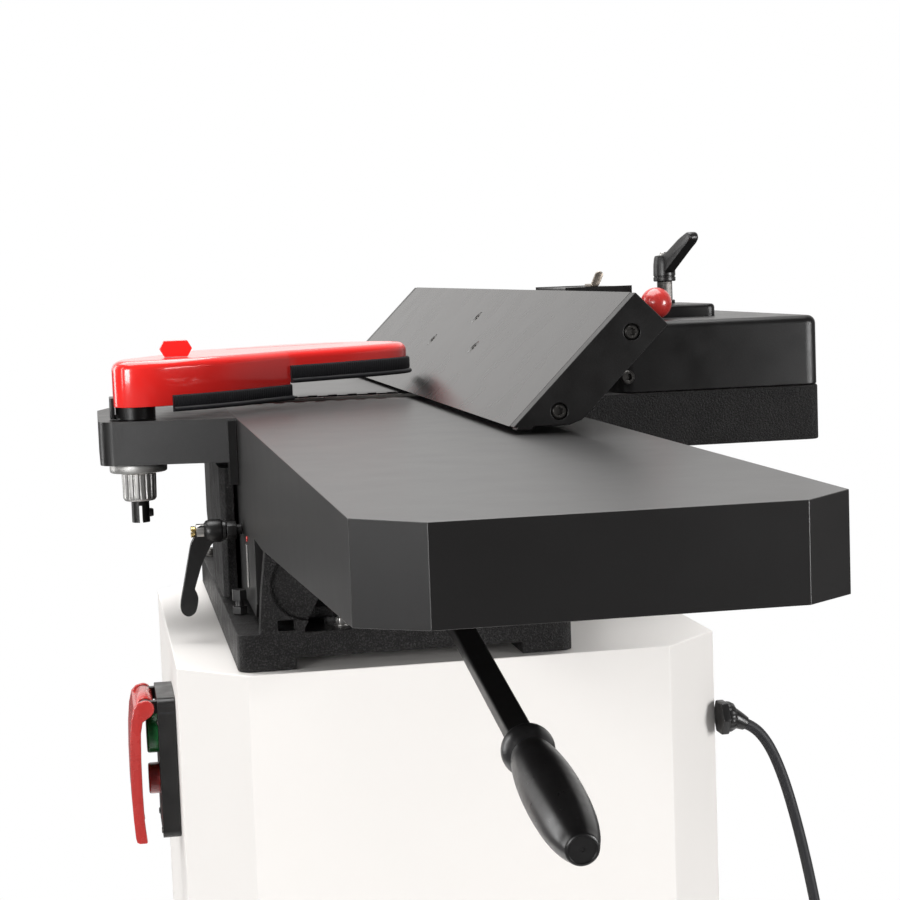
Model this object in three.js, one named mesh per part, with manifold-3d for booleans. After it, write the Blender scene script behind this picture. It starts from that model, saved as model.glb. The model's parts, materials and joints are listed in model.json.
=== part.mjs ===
// Eight-inch surface planer (jointer) on a closed cabinet stand.
// Millimetres, +Z up. Bed coordinates: X across the tables, Y along them from the infeed end,
// Z = 0 at the infeed table's surface. The whole bed is then moved so that the floor is Z = 0
// and the machine's footprint is centred on the origin.
import * as THREE from "three";
import { mergeVertices } from "three/addons/utils/BufferGeometryUtils.js";
import Module from "manifold-3d";

const wasm = await Module();
wasm.setup();

// ---------- driving dimensions ----------
const GAP = 0.3; // between touching pieces

const TABLE_HEIGHT = 813; // floor to infeed table
const TABLE_WIDTH = 229;
const BED_LENGTH = 1689;
const TABLE_CORNER = 30; // cut-off corners of the free ends
const TABLE_END_DEPTH = 46.5;
const TABLE_MID_DEPTH = 76; // where the skirt meets the deep web
const TABLE_WEB_DEPTH = 133;
const TABLE_WALL = 9;
const TABLE_PLATE = 16;
const OUTFEED_RISE = 1.5; // outfeed surface above infeed surface: the depth of cut at rest

const HEAD_Y = 854; // cutterhead axis
const CUT_RADIUS = 38;
const HEAD_Z = OUTFEED_RISE - CUT_RADIUS;
const MOUTH = 46; // gap between the two lips
const LIP_WIDTH = 19;
const LIP_THICKNESS = 4;
const WAY_ANGLE = THREE.MathUtils.degToRad(15);
const WAY_TOP_Z = -62; // inclined way at its end by the cutterhead
const WAY_START = 54; // from the cutterhead axis to that end
const WAY_LENGTH = 240;

const CABINET = { x0: -171.85, x1: 216.85, y0: 522.5, y1: 978.7, top: -164.6, corner: 45.8, wall: 3 };
const FOOT_HEIGHT = 18;
const BASE = { x0: -131, x1: 104.6, y0: 532, y1: 969, flangeTop: -138.6 };
const BASE_WALL = { x0: -128, y0: 702, y1: 829, top: -39 }; // side wall under the guard's ledge

const SUPPORT = { x0: 118.3, x1: 356, y0: 709, y1: 1000, bottom: -42, top: 2.4, wall: 8 };
const CARRIAGE = { x0: 190, top: 57.7, padTop: 68 };
const CRADLE = { x0: 125, x1: 220, y0: 775, y1: 885, bottom: 6, shoulder: 80, topX: 165, top: 85.5 };

const ARM = { reach: 216, thickness: 33, nearY: 679, farY: 872 };
const GUARD_PIVOT = { x: -187.5, y: 722 };
const GUARD = { bottom: 20, top: 45, skirtBottom: 10 };

const FENCE = { x: 39.7, z: 4.4, y0: 408, length: 866, height: 116, thickness: 29.8, cap: 12 };
const FENCE_TILT = Math.PI / 4; // leaning back from upright at rest
const TILT_AXIS = { x: 45.7, z: 18.9 };
const SHOE_RADIUS = 112;

const PULLEY = { x0: 140, x1: 165, grooveHead: 20.9, grooveMotor: 35.7, flange: 6.6, flangeWidth: 6.1 };
const BELT = { x0: 146.5, x1: 158.5, thickness: 7 };
const MOTOR = { y: 700, z: -540, radius: 75, x0: -125, x1: 105, shaft: 9.5 };
const SHAFT_RADIUS = 12.5;

const LEVER = { x: 10, pivotY: 640, pivotZ: -95.8, endY: 132, endZ: -187.2, gripLength: 136 };
const LOCK = { y: 663, z: -81.7 }; // infeed lock
const TILT_LOCK = { x: 172, y: 762, z: 62 };
const SLIDE_LOCK = { x: 270, y: 850, heading: Math.PI * 0.91 };

const CHIP_OPENING = { x0: -106, x1: 84, y0: 800, y1: 908 };
const BELT_GUARD = { x0: 122, x1: 184, y0: 758, y1: 906, wall: 3 };
const DOOR = { y0: 580, y1: 940, z0: -750, z1: -320, lap: 10 };
const LATCH = { y: 606, z: -535, hole: 5.3 };
const PORT = { x: -12, z: -330, radius: 50, wall: 3, length: 50 };
const FOOT_INSET = 40;

const DRUM = { x0: -104, x1: 100, radius: 36, knives: 3, slot: 3.6, knife: 3, seat: 22 };
const BEARING = { half: 30, seatZ: -80, leftX: [-114.4, -104.4], rightX: [104.9, 118] };
const WAY_RAILS = [[-98, -62], [40, 76]];

const SWITCH = { x0: -185, x1: CABINET.x0 - GAP, y0: 625, y1: 695, z0: -301.5, z1: -197.5 };
const START = { y: 660, z: -228.5, radius: 15.5, stand: 8 };
const STOP = { y: 660, z: -263.5, radius: 11.5, stand: 8 };
const HINGE = { x: SWITCH.x0 - 8.5, z: SWITCH.z1 - 7 };

const GLAND = { y: 560.5, z: -227.5, bootAngle: THREE.MathUtils.degToRad(28) };
const CORD_RADIUS = 4;
const COIL = { x: 286, y: 640, inner: 27.8, outer: 60.8, height: 8.3 };
const PLUG = { x: 342.6, y: 673.4, length: 38 };

const FOOTPRINT_X = (SUPPORT.x1 - ARM.reach) / 2;
const HALF = TABLE_WIDTH / 2;
const INFEED_LIP_Y = HEAD_Y - MOUTH / 2;
const OUTFEED_LIP_Y = HEAD_Y + MOUTH / 2;
const FLOOR = -TABLE_HEIGHT;

// ---------- materials ----------
const finish = (color, roughness, metalness) =>
  new THREE.MeshStandardMaterial({ color, roughness, metalness });
const PAINT_BLACK = finish(0x1b1a1b, 0.55, 0.1);
const CAST_BLACK = finish(0x171617, 0.85, 0.1);
const TABLE_GREY = finish(0x3d3b3c, 0.4, 0.5);
const PAINT_WHITE = finish(0xf1ece6, 0.45, 0);
const PAINT_RED = finish(0xd22420, 0.25, 0);
const PLASTIC_BLACK = finish(0x141415, 0.4, 0);
const PLASTIC_RED = finish(0xc8201c, 0.35, 0);
const PLASTIC_GREEN = finish(0x168a3c, 0.4, 0);
const RUBBER = finish(0x1e1f24, 0.8, 0);
const STEEL = finish(0xb8b8b6, 0.3, 1);
const ALUMINIUM = finish(0xa9a9a7, 0.35, 1);
const BRASS = finish(0xb59a58, 0.3, 1);

// ---------- solids ----------
const solid = (geometry) => {
  const bare = geometry.index ? geometry.toNonIndexed() : geometry.clone();
  bare.deleteAttribute("normal");
  bare.deleteAttribute("uv");
  const merged = mergeVertices(bare, 1e-4);
  const vertProperties = merged.attributes.position.array;
  const triVerts = new Uint32Array(merged.index.array);
  return new wasm.Manifold(new wasm.Mesh({ numProp: 3, vertProperties, triVerts }));
};

const geometryOf = (manifold) => {
  const { vertProperties, triVerts } = manifold.getMesh();
  const geometry = new THREE.BufferGeometry();
  geometry.setAttribute("position", new THREE.BufferAttribute(vertProperties, 3));
  geometry.setIndex(new THREE.BufferAttribute(triVerts, 1));
  return geometry;
};

const join = (...parts) => geometryOf(parts.map(solid).reduce((sum, part) => sum.add(part)));
const cut = (body, ...tools) =>
  geometryOf(tools.map(solid).reduce((rest, tool) => rest.subtract(tool), solid(body)));
const common = (a, b) => geometryOf(solid(a).intersect(solid(b)));

const outline = (points) => new THREE.Shape(points.map(([a, b]) => new THREE.Vector2(a, b)));

// Outline in X and Y, from z0 up to z1.
const upright = (points, z0, z1) =>
  new THREE.ExtrudeGeometry(outline(points), { depth: z1 - z0, bevelEnabled: false }).translate(0, 0, z0);

// Outline in Y and Z, from x0 to x1.
const acrossX = (points, x0, x1) => {
  const turn = new THREE.Matrix4().makeBasis(
    new THREE.Vector3(0, 1, 0),
    new THREE.Vector3(0, 0, 1),
    new THREE.Vector3(1, 0, 0),
  );
  return upright(points, x0, x1).applyMatrix4(turn);
};

// Outline in X and Z, from y0 to y1.
const alongY = (points, y0, y1) => upright(points, -y1, -y0).rotateX(Math.PI / 2);

const box = (x0, x1, y0, y1, z0, z1) =>
  new THREE.BoxGeometry(x1 - x0, y1 - y0, z1 - z0).translate((x0 + x1) / 2, (y0 + y1) / 2, (z0 + z1) / 2);

// Turned about Z: the profile's points are [radius, z], rising.
const turned = (profile, segments = 32) =>
  new THREE.LatheGeometry(profile.map(([r, z]) => new THREE.Vector2(r, z)), segments).rotateX(Math.PI / 2);

const turnedX = (profile, segments) => turned(profile, segments).rotateY(Math.PI / 2);

const cylinder = (radius, z0, z1, segments = 32) =>
  turned([[0, z0], [radius, z0], [radius, z1], [0, z1]], segments);
const cylinderX = (radius, x0, x1, segments) => cylinder(radius, x0, x1, segments).rotateY(Math.PI / 2);
const cylinderY = (radius, y0, y1, segments) => cylinder(radius, -y1, -y0, segments).rotateX(Math.PI / 2);

const hexagon = (acrossFlats, z0, z1) =>
  cylinder(acrossFlats / Math.sqrt(3), z0, z1, 6);

const arc = (cx, cy, radius, from, to, steps) =>
  Array.from({ length: steps + 1 }, (_, i) => {
    const angle = from + ((to - from) * i) / steps;
    return [cx + radius * Math.cos(angle), cy + radius * Math.sin(angle)];
  });

const rectangle = (x0, x1, y0, y1, corner) => [
  [x0 + corner, y0],
  [x1 - corner, y0],
  [x1, y0 + corner],
  [x1, y1 - corner],
  [x1 - corner, y1],
  [x0 + corner, y1],
  [x0, y1 - corner],
  [x0, y0 + corner],
];

const roundedRectangle = (x0, x1, y0, y1, r, steps = 4) => [
  ...arc(x1 - r, y1 - r, r, 0, Math.PI / 2, steps),
  ...arc(x0 + r, y1 - r, r, Math.PI / 2, Math.PI, steps),
  ...arc(x0 + r, y0 + r, r, Math.PI, Math.PI * 1.5, steps),
  ...arc(x1 - r, y0 + r, r, Math.PI * 1.5, Math.PI * 2, steps),
];

const bed = new THREE.Group();
bed.position.set(-FOOTPRINT_X, -BED_LENGTH / 2, TABLE_HEIGHT);

const add = (name, geometry, material, position = [0, 0, 0], parent = bed) => {
  const mesh = new THREE.Mesh(geometry, material);
  mesh.name = name;
  mesh.position.set(...position);
  parent.add(mesh);
  return mesh;
};

// ---------- cabinet stand ----------
const CABINET_BOTTOM = FLOOR + FOOT_HEIGHT;

const cabinetRing = (inset, z0, z1) => {
  const { x0, x1, y0, y1, corner } = CABINET;
  const cornerInset = corner - inset * (2 - Math.SQRT2);
  return upright(rectangle(x0 + inset, x1 - inset, y0 + inset, y1 - inset, cornerInset), z0, z1);
};

const hole = ({ x0, x1, y0, y1 }, inset, z0, z1) =>
  box(x0 + inset, x1 - inset, y0 + inset, y1 - inset, z0, z1);

const cabinetShell = () =>
  cut(
    cabinetRing(0, CABINET_BOTTOM, CABINET.top),
    cabinetRing(CABINET.wall, CABINET_BOTTOM + CABINET.wall, CABINET.top - CABINET.wall),
    cabinetRing(48, CABINET_BOTTOM - 1, CABINET_BOTTOM + 10),
    hole(CHIP_OPENING, 0, CABINET.top - 9, CABINET.top + 1),
    hole(BELT_GUARD, 6, CABINET.top - 15, CABINET.top + 5),
    box(200, 230, DOOR.y0 + DOOR.lap, DOOR.y1 - DOOR.lap, DOOR.z0 + DOOR.lap, DOOR.z1 - DOOR.lap),
    cylinderY(PORT.radius - 1, CABINET.y1 - 20, CABINET.y1 + 5).translate(PORT.x, 0, PORT.z),
  );
add("cabinet_shell", cabinetShell(), PAINT_WHITE);

const levellingFoot = () => {
  const top = FOOT_HEIGHT - GAP;
  return turned([[0, 0], [22, 0], [22, 8], [9, 12], [9, top], [0, top]], 24);
};
const FOOT_PLACES = [CABINET.x0 + FOOT_INSET, CABINET.x1 - FOOT_INSET].flatMap((x) =>
  [CABINET.y0 + FOOT_INSET, CABINET.y1 - FOOT_INSET].map((y) => [x, y, FLOOR]),
);
FOOT_PLACES.forEach((place, i) => add(`levelling_foot_${i + 1}`, levellingFoot(), RUBBER, place));

// Sheet trough that leads the chips from under the cutterhead to the dust port.
const chipChute = () => {
  const side = [[788, -170], [930, -170], [970, -250], [970, -396], [930, -370]];
  const hollow = [[791, -160], [927, -160], [990, -240], [990, -391], [931, -366]];
  const x0 = CHIP_OPENING.x0 - 5;
  const x1 = CHIP_OPENING.x1 + 5;
  return cut(acrossX(side, x0, x1), acrossX(hollow, x0 + 2.5, x1 - 2.5));
};
add("chip_chute", chipChute(), STEEL);

const dustPort = () => {
  const { x, z, radius, wall, length } = PORT;
  const face = CABINET.y1 + GAP;
  const collar = cylinderY(radius, face, face + length, 40);
  const flange = alongY(roundedRectangle(-65, 65, -65, 65, 12), face, face + wall);
  const bore = cylinderY(radius - wall, face - 5, face + length + 5, 40);
  return cut(join(collar, flange), bore).translate(x, 0, z);
};
add("dust_port", dustPort(), PLASTIC_BLACK);

const DOOR_FACE = CABINET.x1 + GAP;
const cabinetDoor = () => {
  const panel = box(DOOR_FACE, DOOR_FACE + 3, DOOR.y0, DOOR.y1, DOOR.z0, DOOR.z1);
  const frame = (inset, x0, x1) =>
    box(x0, x1, DOOR.y0 + inset, DOOR.y1 - inset - 8, DOOR.z0 + inset, DOOR.z1 - inset);
  const lip = cut(
    frame(DOOR.lap + 4, DOOR_FACE - 10, DOOR_FACE + 1),
    frame(DOOR.lap + 6, DOOR_FACE - 20, DOOR_FACE - 1),
  );
  return cut(join(panel, lip), cylinderX(LATCH.hole, 190, 240, 24).translate(0, LATCH.y, LATCH.z));
};
add("cabinet_door", cabinetDoor(), PAINT_WHITE);

const doorLatch = () => {
  const shaft = LATCH.hole - GAP;
  const knob = turnedX([[0, -9], [shaft, -9], [shaft, 0], [15, 0], [15, 4], [12, 6], [0, 6]], 24);
  const wing = box(3, 16, -3, 3, -13, 13);
  return join(knob, wing).translate(DOOR_FACE + 3 + GAP, 0, 0);
};
add("door_latch", doorLatch(), PLASTIC_BLACK, [0, LATCH.y, LATCH.z]);

// ---------- base casting ----------
const wayZ = (distance) => WAY_TOP_Z - (distance - WAY_START) * Math.tan(WAY_ANGLE);

// Profile of one inclined way; side is -1 for infeed and 1 for outfeed.
const wayProfile = (side) => {
  const far = WAY_START + WAY_LENGTH;
  const foot = BASE.flangeTop - 10;
  return [
    [HEAD_Y + side * WAY_START, wayZ(WAY_START)],
    [HEAD_Y + side * far, wayZ(far)],
    [HEAD_Y + side * far, wayZ(far) - 8],
    [HEAD_Y + side * Math.min(far, 115), foot],
    [HEAD_Y + side * WAY_START, foot],
  ];
};

const leverLug = (x0, x1) => {
  const { pivotY, pivotZ } = LEVER;
  const foot = BASE.flangeTop - 12;
  const crown = arc(pivotY, pivotZ, 15, 0, Math.PI, 8);
  return acrossX([...crown, [pivotY - 22, foot], [pivotY + 22, foot]], x0, x1);
};

// Upstanding plate on the near left corner of the foot, flush with it, with a sunk panel.
const nearBulkhead = () => {
  const { y0, flangeTop } = BASE;
  const foot = flangeTop - 8;
  const rightEdge = [[-86, foot], [-84.3, -136], [-72, -114], [-68, -81]];
  const plate = [...rightEdge, [-109.5, -80.5], [-113.5, -112], [-116, foot]];
  const curve = arc(-83, -106, 24, Math.PI * 0.78, Math.PI * 1.4, 10);
  const panel = [...curve, [-60, -137], [-60, -70], [-103, -70]];
  const drain = box(-103, -91, y0 - 5, y0 + 20, -137, -130);
  return cut(alongY(plate, y0, y0 + 13), alongY(panel, y0 - 5, y0 + 5), drain);
};

const baseCasting = () => {
  const { x0, x1, y0, y1, flangeTop } = BASE;
  const bottom = CABINET.top + GAP;
  const flange = upright(roundedRectangle(x0, x1, y0, y1, 10, 3), bottom, flangeTop);
  const chipHole = box(-112, 88, 812, 896, bottom - 5, flangeTop + 5);
  const pocket = box(-58, 36, 672, 955, bottom - 5, flangeTop + 5);
  const nearPocket = box(-58, 36, 546, 610, bottom - 5, flangeTop + 5);
  const arch = box(-91, 67, y0 - 5, y1 + 5, bottom - 5, bottom + 8);
  const foot = cut(flange, chipHole, pocket, nearPocket, arch);
  const rails = WAY_RAILS.flatMap(([a, b]) => [-1, 1].map((side) => acrossX(wayProfile(side), a, b)));
  const { x0: wallX, y0: wallStart, y1: wallEnd, top: wallTop } = BASE_WALL;
  const leftWall = [
    [wallX, wallEnd],
    [wallX, wallStart + 5],
    [wallX + 4, wallStart],
    [-117.3, wallStart],
    [-117.3, wallEnd],
  ];
  const walls = [
    upright(leftWall, flangeTop - 5, wallTop),
    box(90, x1, wallStart, y1, flangeTop - 5, -84),
  ];
  const seats = [
    box(-120, BEARING.leftX[1], HEAD_Y - BEARING.half, HEAD_Y + BEARING.half, flangeTop - 5, BEARING.seatZ),
    box(95, BEARING.rightX[1], HEAD_Y - BEARING.half, HEAD_Y + BEARING.half, flangeTop, BEARING.seatZ),
  ];
  const crossMember = box(-60, 38, 612, 668, flangeTop - 14, flangeTop - 2);
  const lugs = [leverLug(-12, -1), leverLug(21, 32)];
  const pinHole = cylinderX(8.3, -40, 60, 24).translate(0, LEVER.pivotY, LEVER.pivotZ);
  return cut(join(foot, ...rails, ...walls, ...seats, crossMember, ...lugs, nearBulkhead()), pinHole);
};
add("base_casting", baseCasting(), CAST_BLACK);

const bearingBlock = ([x0, x1]) => {
  const sides = [...arc(HEAD_Y, HEAD_Z, BEARING.half, 0, Math.PI, 16)];
  const block = acrossX(
    [...sides, [HEAD_Y - BEARING.half, BEARING.seatZ + GAP], [HEAD_Y + BEARING.half, BEARING.seatZ + GAP]],
    x0,
    x1,
  );
  return cut(block, cylinderX(SHAFT_RADIUS + GAP, x0 - 5, x1 + 5, 40).translate(0, HEAD_Y, HEAD_Z));
};
add("bearing_block_left", bearingBlock(BEARING.leftX), CAST_BLACK);
add("bearing_block_right", bearingBlock(BEARING.rightX), CAST_BLACK);

// ---------- tables ----------
// One table, drawn for the infeed side with its free end at Y = 0 and the cutterhead axis at
// HEAD_Y. The outfeed table is the same casting turned end for end.
const tableCasting = (length) => {
  const free = HEAD_Y - MOUTH / 2 - length; // Y of the free end
  const seatY = INFEED_LIP_Y - LIP_WIDTH - GAP;
  const webY = HEAD_Y - WAY_START;
  const relief = INFEED_LIP_Y - 31;
  const kneeY = HEAD_Y - 349; // where skirt and deep web meet
  const skirt = [
    [free, 0],
    [seatY, 0],
    [seatY, -LIP_THICKNESS - GAP],
    [INFEED_LIP_Y - 7, -LIP_THICKNESS - GAP],
    [relief, -34],
    [relief, -TABLE_MID_DEPTH],
    [kneeY, -TABLE_MID_DEPTH],
    [free, -TABLE_END_DEPTH],
  ];
  const web = [
    [kneeY + 58, -40],
    [kneeY + 58, -TABLE_WEB_DEPTH + 10],
    [kneeY + 68, -TABLE_WEB_DEPTH],
    [webY, -TABLE_WEB_DEPTH],
    [webY, -40],
  ];
  const inner = HALF - TABLE_WALL;
  const corners = upright(
    [
      [-HALF, free + TABLE_CORNER],
      [-HALF + TABLE_CORNER, free],
      [HALF - TABLE_CORNER, free],
      [HALF, free + TABLE_CORNER],
      [HALF, INFEED_LIP_Y],
      [-HALF, INFEED_LIP_Y],
    ],
    -200,
    20,
  );
  const hollow = upright(
    rectangle(-inner, inner, free + 12, relief - 12, TABLE_CORNER - 6),
    -200,
    -TABLE_PLATE,
  );
  const pads = WAY_RAILS.map(([a, b]) => {
    const near = WAY_START + WAY_LENGTH - 15;
    const far = WAY_START + 10;
    const profile = [
      [HEAD_Y - near, wayZ(near) + GAP],
      [HEAD_Y - far, wayZ(far) + GAP],
      [HEAD_Y - far, -TABLE_PLATE + 2],
      [HEAD_Y - near, -TABLE_PLATE + 2],
    ];
    return acrossX(profile, a, b);
  });
  const notches = WAY_RAILS.map(([a, b]) => box(a - 3, b + 3, relief - 30, relief + 5, -90, -40));
  const shell = cut(common(acrossX(skirt, -HALF, HALF), corners), hollow, ...notches);
  const webs = [acrossX(web, -HALF, -inner), acrossX(web, 79, 87)];
  const rib = box(78, inner + 2, webY - 24, webY - 12, -60, -TABLE_PLATE + 2);
  return join(shell, ...webs, rib, ...pads);
};

const lipPlate = () => {
  const notches = [];
  const pitch = 17;
  for (let x = -6 * pitch; x <= 6 * pitch; x += pitch)
    notches.push(box(x - 4, x + 4, INFEED_LIP_Y - 9, INFEED_LIP_Y + 5, -LIP_THICKNESS - 5, 5));
  return cut(box(-HALF, HALF, INFEED_LIP_Y - LIP_WIDTH, INFEED_LIP_Y, -LIP_THICKNESS, 0), ...notches);
};

add("infeed_table", tableCasting(INFEED_LIP_Y), TABLE_GREY);
add("infeed_lip", lipPlate(), TABLE_GREY);

// Mirrored end for end in Y, so the inner web stays on the fence side.
const outfeed = new THREE.Group();
outfeed.scale.y = -1;
outfeed.position.set(0, 2 * HEAD_Y, OUTFEED_RISE);
bed.add(outfeed);
add("outfeed_table", tableCasting(BED_LENGTH - OUTFEED_LIP_Y), TABLE_GREY, [0, 0, 0], outfeed);
add("outfeed_lip", lipPlate(), TABLE_GREY, [0, 0, 0], outfeed);

add("depth_scale", box(-HALF - 1.3, -HALF - GAP, 618, 626, -119, -88), STEEL);

const depthStop = () =>
  join(
    hexagon(10, BASE.flangeTop + GAP, BASE.flangeTop + 6),
    cylinder(3, BASE.flangeTop + 2, BASE.flangeTop + 12, 16),
    hexagon(10, BASE.flangeTop + 10, BASE.flangeTop + 18),
  );
add("depth_stop_bolt", depthStop(), PLASTIC_BLACK, [-122, 624, 0]);

// ---------- cutterhead ----------

const knifeBox = (thickness, inner, outer, x0, x1) =>
  box(x0, x1, -thickness / 2, thickness / 2, inner, outer);

const cutterheadDrum = () => {
  const { x0, x1, radius } = DRUM;
  const shaft = SHAFT_RADIUS;
  const nearEnd = [[0, -114.2], [shaft, -114.2], [shaft, x0], [radius, x0]];
  const farEnd = [[radius, x1], [shaft, x1], [shaft, PULLEY.x1], [0, PULLEY.x1]];
  const slots = Array.from({ length: DRUM.knives }, (_, i) =>
    knifeBox(DRUM.slot, DRUM.seat, CUT_RADIUS + 5, x0 - 5, x1 + 5).rotateX((i * 2 * Math.PI) / DRUM.knives),
  );
  return cut(turnedX([...nearEnd, ...farEnd], 40), ...slots);
};

const cutterhead = new THREE.Group();
cutterhead.position.set(0, HEAD_Y, HEAD_Z);
bed.add(cutterhead);
add("cutterhead_drum", cutterheadDrum(), STEEL, [0, 0, 0], cutterhead);
for (let i = 0; i < DRUM.knives; i++) {
  const knife = knifeBox(DRUM.knife, DRUM.seat + GAP, CUT_RADIUS, DRUM.x0 + 1, DRUM.x1 - 1);
  add(`knife_${i + 1}`, knife.rotateX((i * 2 * Math.PI) / DRUM.knives), STEEL, [0, 0, 0], cutterhead);
}

const pulley = (groove, bore) => {
  const { x0, x1, flange, flangeWidth } = PULLEY;
  const rim = groove + flange;
  const a = x0 + flangeWidth;
  const b = x1 - flangeWidth;
  const outside = [[rim, x0], [rim, a], [groove, a], [groove, b], [rim, b], [rim, x1]];
  return turnedX([[bore, x0], ...outside, [bore, x1], [bore, x0]], 32);
};
add("cutterhead_pulley", pulley(PULLEY.grooveHead, SHAFT_RADIUS + GAP), CAST_BLACK, [0, 0, 0], cutterhead);

// ---------- motor and belt ----------
const motor = new THREE.Group();
motor.position.set(0, MOTOR.y, MOTOR.z);
bed.add(motor);
const SHELF_TOP = -95;
const motorBody = () => {
  const { x0, x1, radius, shaft } = MOTOR;
  const nearEnd = [[0, x0], [radius - 12, x0], [radius, x0 + 14]];
  const farEnd = [[radius, x1 - 12], [radius - 10, x1], [0, x1]];
  const shell = turnedX([...nearEnd, ...farEnd], 40);
  const feet = [-70, 50].map((x) => box(x - 18, x + 18, -62, 62, SHELF_TOP + GAP, -55));
  const terminalBox = box(-40, 40, -radius - 32, -radius + 15, -28, 28);
  return cut(join(shell, ...feet, terminalBox), cylinderX(shaft + GAP, x1 - 30, x1 + 5, 24));
};
add("motor_body", motorBody(), CAST_BLACK, [0, 0, 0], motor);
add("motor_shaft", cylinderX(MOTOR.shaft, MOTOR.x1 - 29, PULLEY.x1, 32), STEEL, [0, 0, 0], motor);
add("motor_pulley", pulley(PULLEY.grooveMotor, MOTOR.shaft + GAP), CAST_BLACK, [0, 0, 0], motor);

const motorShelf = () => {
  const z = MOTOR.z + SHELF_TOP;
  const inset = CABINET.wall + GAP;
  const plate = box(-98, 78, CABINET.y0 + inset, CABINET.y1 - inset, z - 4, z);
  const ends = [CABINET.y0 + inset, CABINET.y1 - inset - 4].map((y) => box(-98, 78, y, y + 4, z - 40, z));
  return join(plate, ...ends);
};
add("motor_shelf", motorShelf(), STEEL);

// The outline round both pulleys at a distance outside their groove floors.
const beltOutline = (distance) => {
  const dy = MOTOR.y - HEAD_Y;
  const dz = MOTOR.z - HEAD_Z;
  const heading = Math.atan2(dz, dy);
  const lean = Math.acos((PULLEY.grooveHead - PULLEY.grooveMotor) / Math.hypot(dy, dz));
  const headRadius = PULLEY.grooveHead + distance;
  const driveRadius = PULLEY.grooveMotor + distance;
  const head = arc(HEAD_Y, HEAD_Z, headRadius, heading + lean, heading + 2 * Math.PI - lean, 16);
  const drive = arc(MOTOR.y, MOTOR.z, driveRadius, heading - lean, heading + lean, 16);
  return [...head, ...drive];
};
const driveBelt = () =>
  cut(
    acrossX(beltOutline(GAP + BELT.thickness), BELT.x0, BELT.x1),
    acrossX(beltOutline(GAP), BELT.x0 - 5, BELT.x1 + 5),
  );
add("drive_belt", driveBelt(), RUBBER);

const beltGuard = () => {
  const { x0, x1, y0, y1, wall } = BELT_GUARD;
  const z0 = CABINET.top + GAP;
  const z1 = SUPPORT.bottom - GAP;
  return cut(
    upright(roundedRectangle(x0, x1, y0, y1, 8), z0, z1),
    upright(roundedRectangle(x0 + wall, x1 - wall, y0 + wall, y1 - wall, 5), z0 - 5, z1 + 5),
    box(x0 - 5, x0 + wall + 5, HEAD_Y - 17, HEAD_Y + 17, HEAD_Z - 17, z1 + 5),
  );
};
add("belt_guard", beltGuard(), PAINT_BLACK);

// ---------- infeed lift lever and lock ----------
const lever = new THREE.Group();
lever.position.set(LEVER.x, LEVER.pivotY, LEVER.pivotZ);
lever.rotation.x = Math.atan2(LEVER.endZ - LEVER.pivotZ, LEVER.pivotY - LEVER.endY) * -1;
bed.add(lever);
const LEVER_LENGTH = Math.hypot(LEVER.pivotY - LEVER.endY, LEVER.pivotZ - LEVER.endZ);
const GRIP_START = LEVER_LENGTH - LEVER.gripLength;
const TANG_LENGTH = 30; // the bar's end inside the grip
const liftLever = () =>
  cut(
    join(
      cylinderX(14, -9, 9, 32),
      alongY(roundedRectangle(-8, 8, -5, 5, 2, 2), -GRIP_START - TANG_LENGTH, -6),
    ),
    cylinderX(8.3, -20, 20, 32),
  );
add("lift_lever", liftLever(), PAINT_BLACK, [0, 0, 0], lever);

const liftGrip = () => {
  const collar = [[0, 0], [10, 0], [14.2, 3.5], [15.3, 9], [14.5, 15], [12.2, 20]];
  const bulb = [[13.3, 27], [15.2, 45], [16.3, 64], [16.2, 84], [15, 104], [12.6, 121], [9.6, 131]];
  const end = [[9, LEVER.gripLength], [0, LEVER.gripLength]];
  const body = turned([...collar, ...bulb, ...end], 24).rotateX(Math.PI / 2);
  const opening = roundedRectangle(-8 - GAP, 8 + GAP, -5 - GAP, 5 + GAP, 2, 2);
  const socket = alongY(opening, -TANG_LENGTH - GAP, 5);
  return cut(body, socket).translate(0, -GRIP_START, 0);
};
add("lift_grip", liftGrip(), PLASTIC_BLACK, [0, 0, 0], lever);
add("lift_pivot_pin", cylinderX(8, LEVER.x - 24, LEVER.x + 24, 32), STEEL, [0, LEVER.pivotY, LEVER.pivotZ]);

// Adjustable clamping handle turned about X; the blade hangs down and a little outwards.
const infeedLockHandle = () => {
  const hub = turnedX([[0, -148], [6, -148], [8.6, -143], [8.6, -130], [7, -127], [0, -127]], 24);
  const stem = cylinderX(4, -128, -HALF - GAP, 16);
  const nut = hexagon(12, -127, -119).rotateY(Math.PI / 2);
  const shank = [[-137, 0], [-141, -8.5], [-148, -22], [-155, -44.5], [-151.6, -48.5]];
  const tip = [[-154, -59], [-158, -60.5], [-161, -57], [-151.4, -8.5], [-149.6, -6.5], [-147, -5.5]];
  return join(hub, stem, nut, alongY([...shank, ...tip].reverse(), -5, 5));
};
add("infeed_lock_handle", infeedLockHandle(), PLASTIC_BLACK, [0, LOCK.y, LOCK.z]);
const lockScrew = () => {
  const end = -148 - GAP;
  return turnedX([[0, -153], [4.2, -153], [4.2, -150], [2.8, -149.4], [2.8, end], [0, end]], 20);
};
add("infeed_lock_screw", lockScrew(), BRASS, [0, LOCK.y, LOCK.z]);

// ---------- rabbeting ledge and cutter guard ----------
const rabbetArm = () => {
  const { reach, thickness, nearY, farY } = ARM;
  const plan = [
    [-HALF - GAP, nearY],
    [-HALF - GAP, farY],
    [-207, farY],
    [-reach, farY - 30],
    ...arc(-reach + 14, 711, 14, Math.PI, Math.PI * 1.42, 4),
  ].reverse();
  const plate = upright(plan, -thickness, 0);
  const lug = box(-121, -HALF - GAP, nearY, nearY + 18, -50, -2);
  return cut(join(plate, lug), cylinder(8, -60, 10, 32).translate(GUARD_PIVOT.x, GUARD_PIVOT.y, 0));
};
add("rabbet_ledge", rabbetArm(), PAINT_BLACK);

const guard = new THREE.Group();
bed.add(guard);
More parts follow.
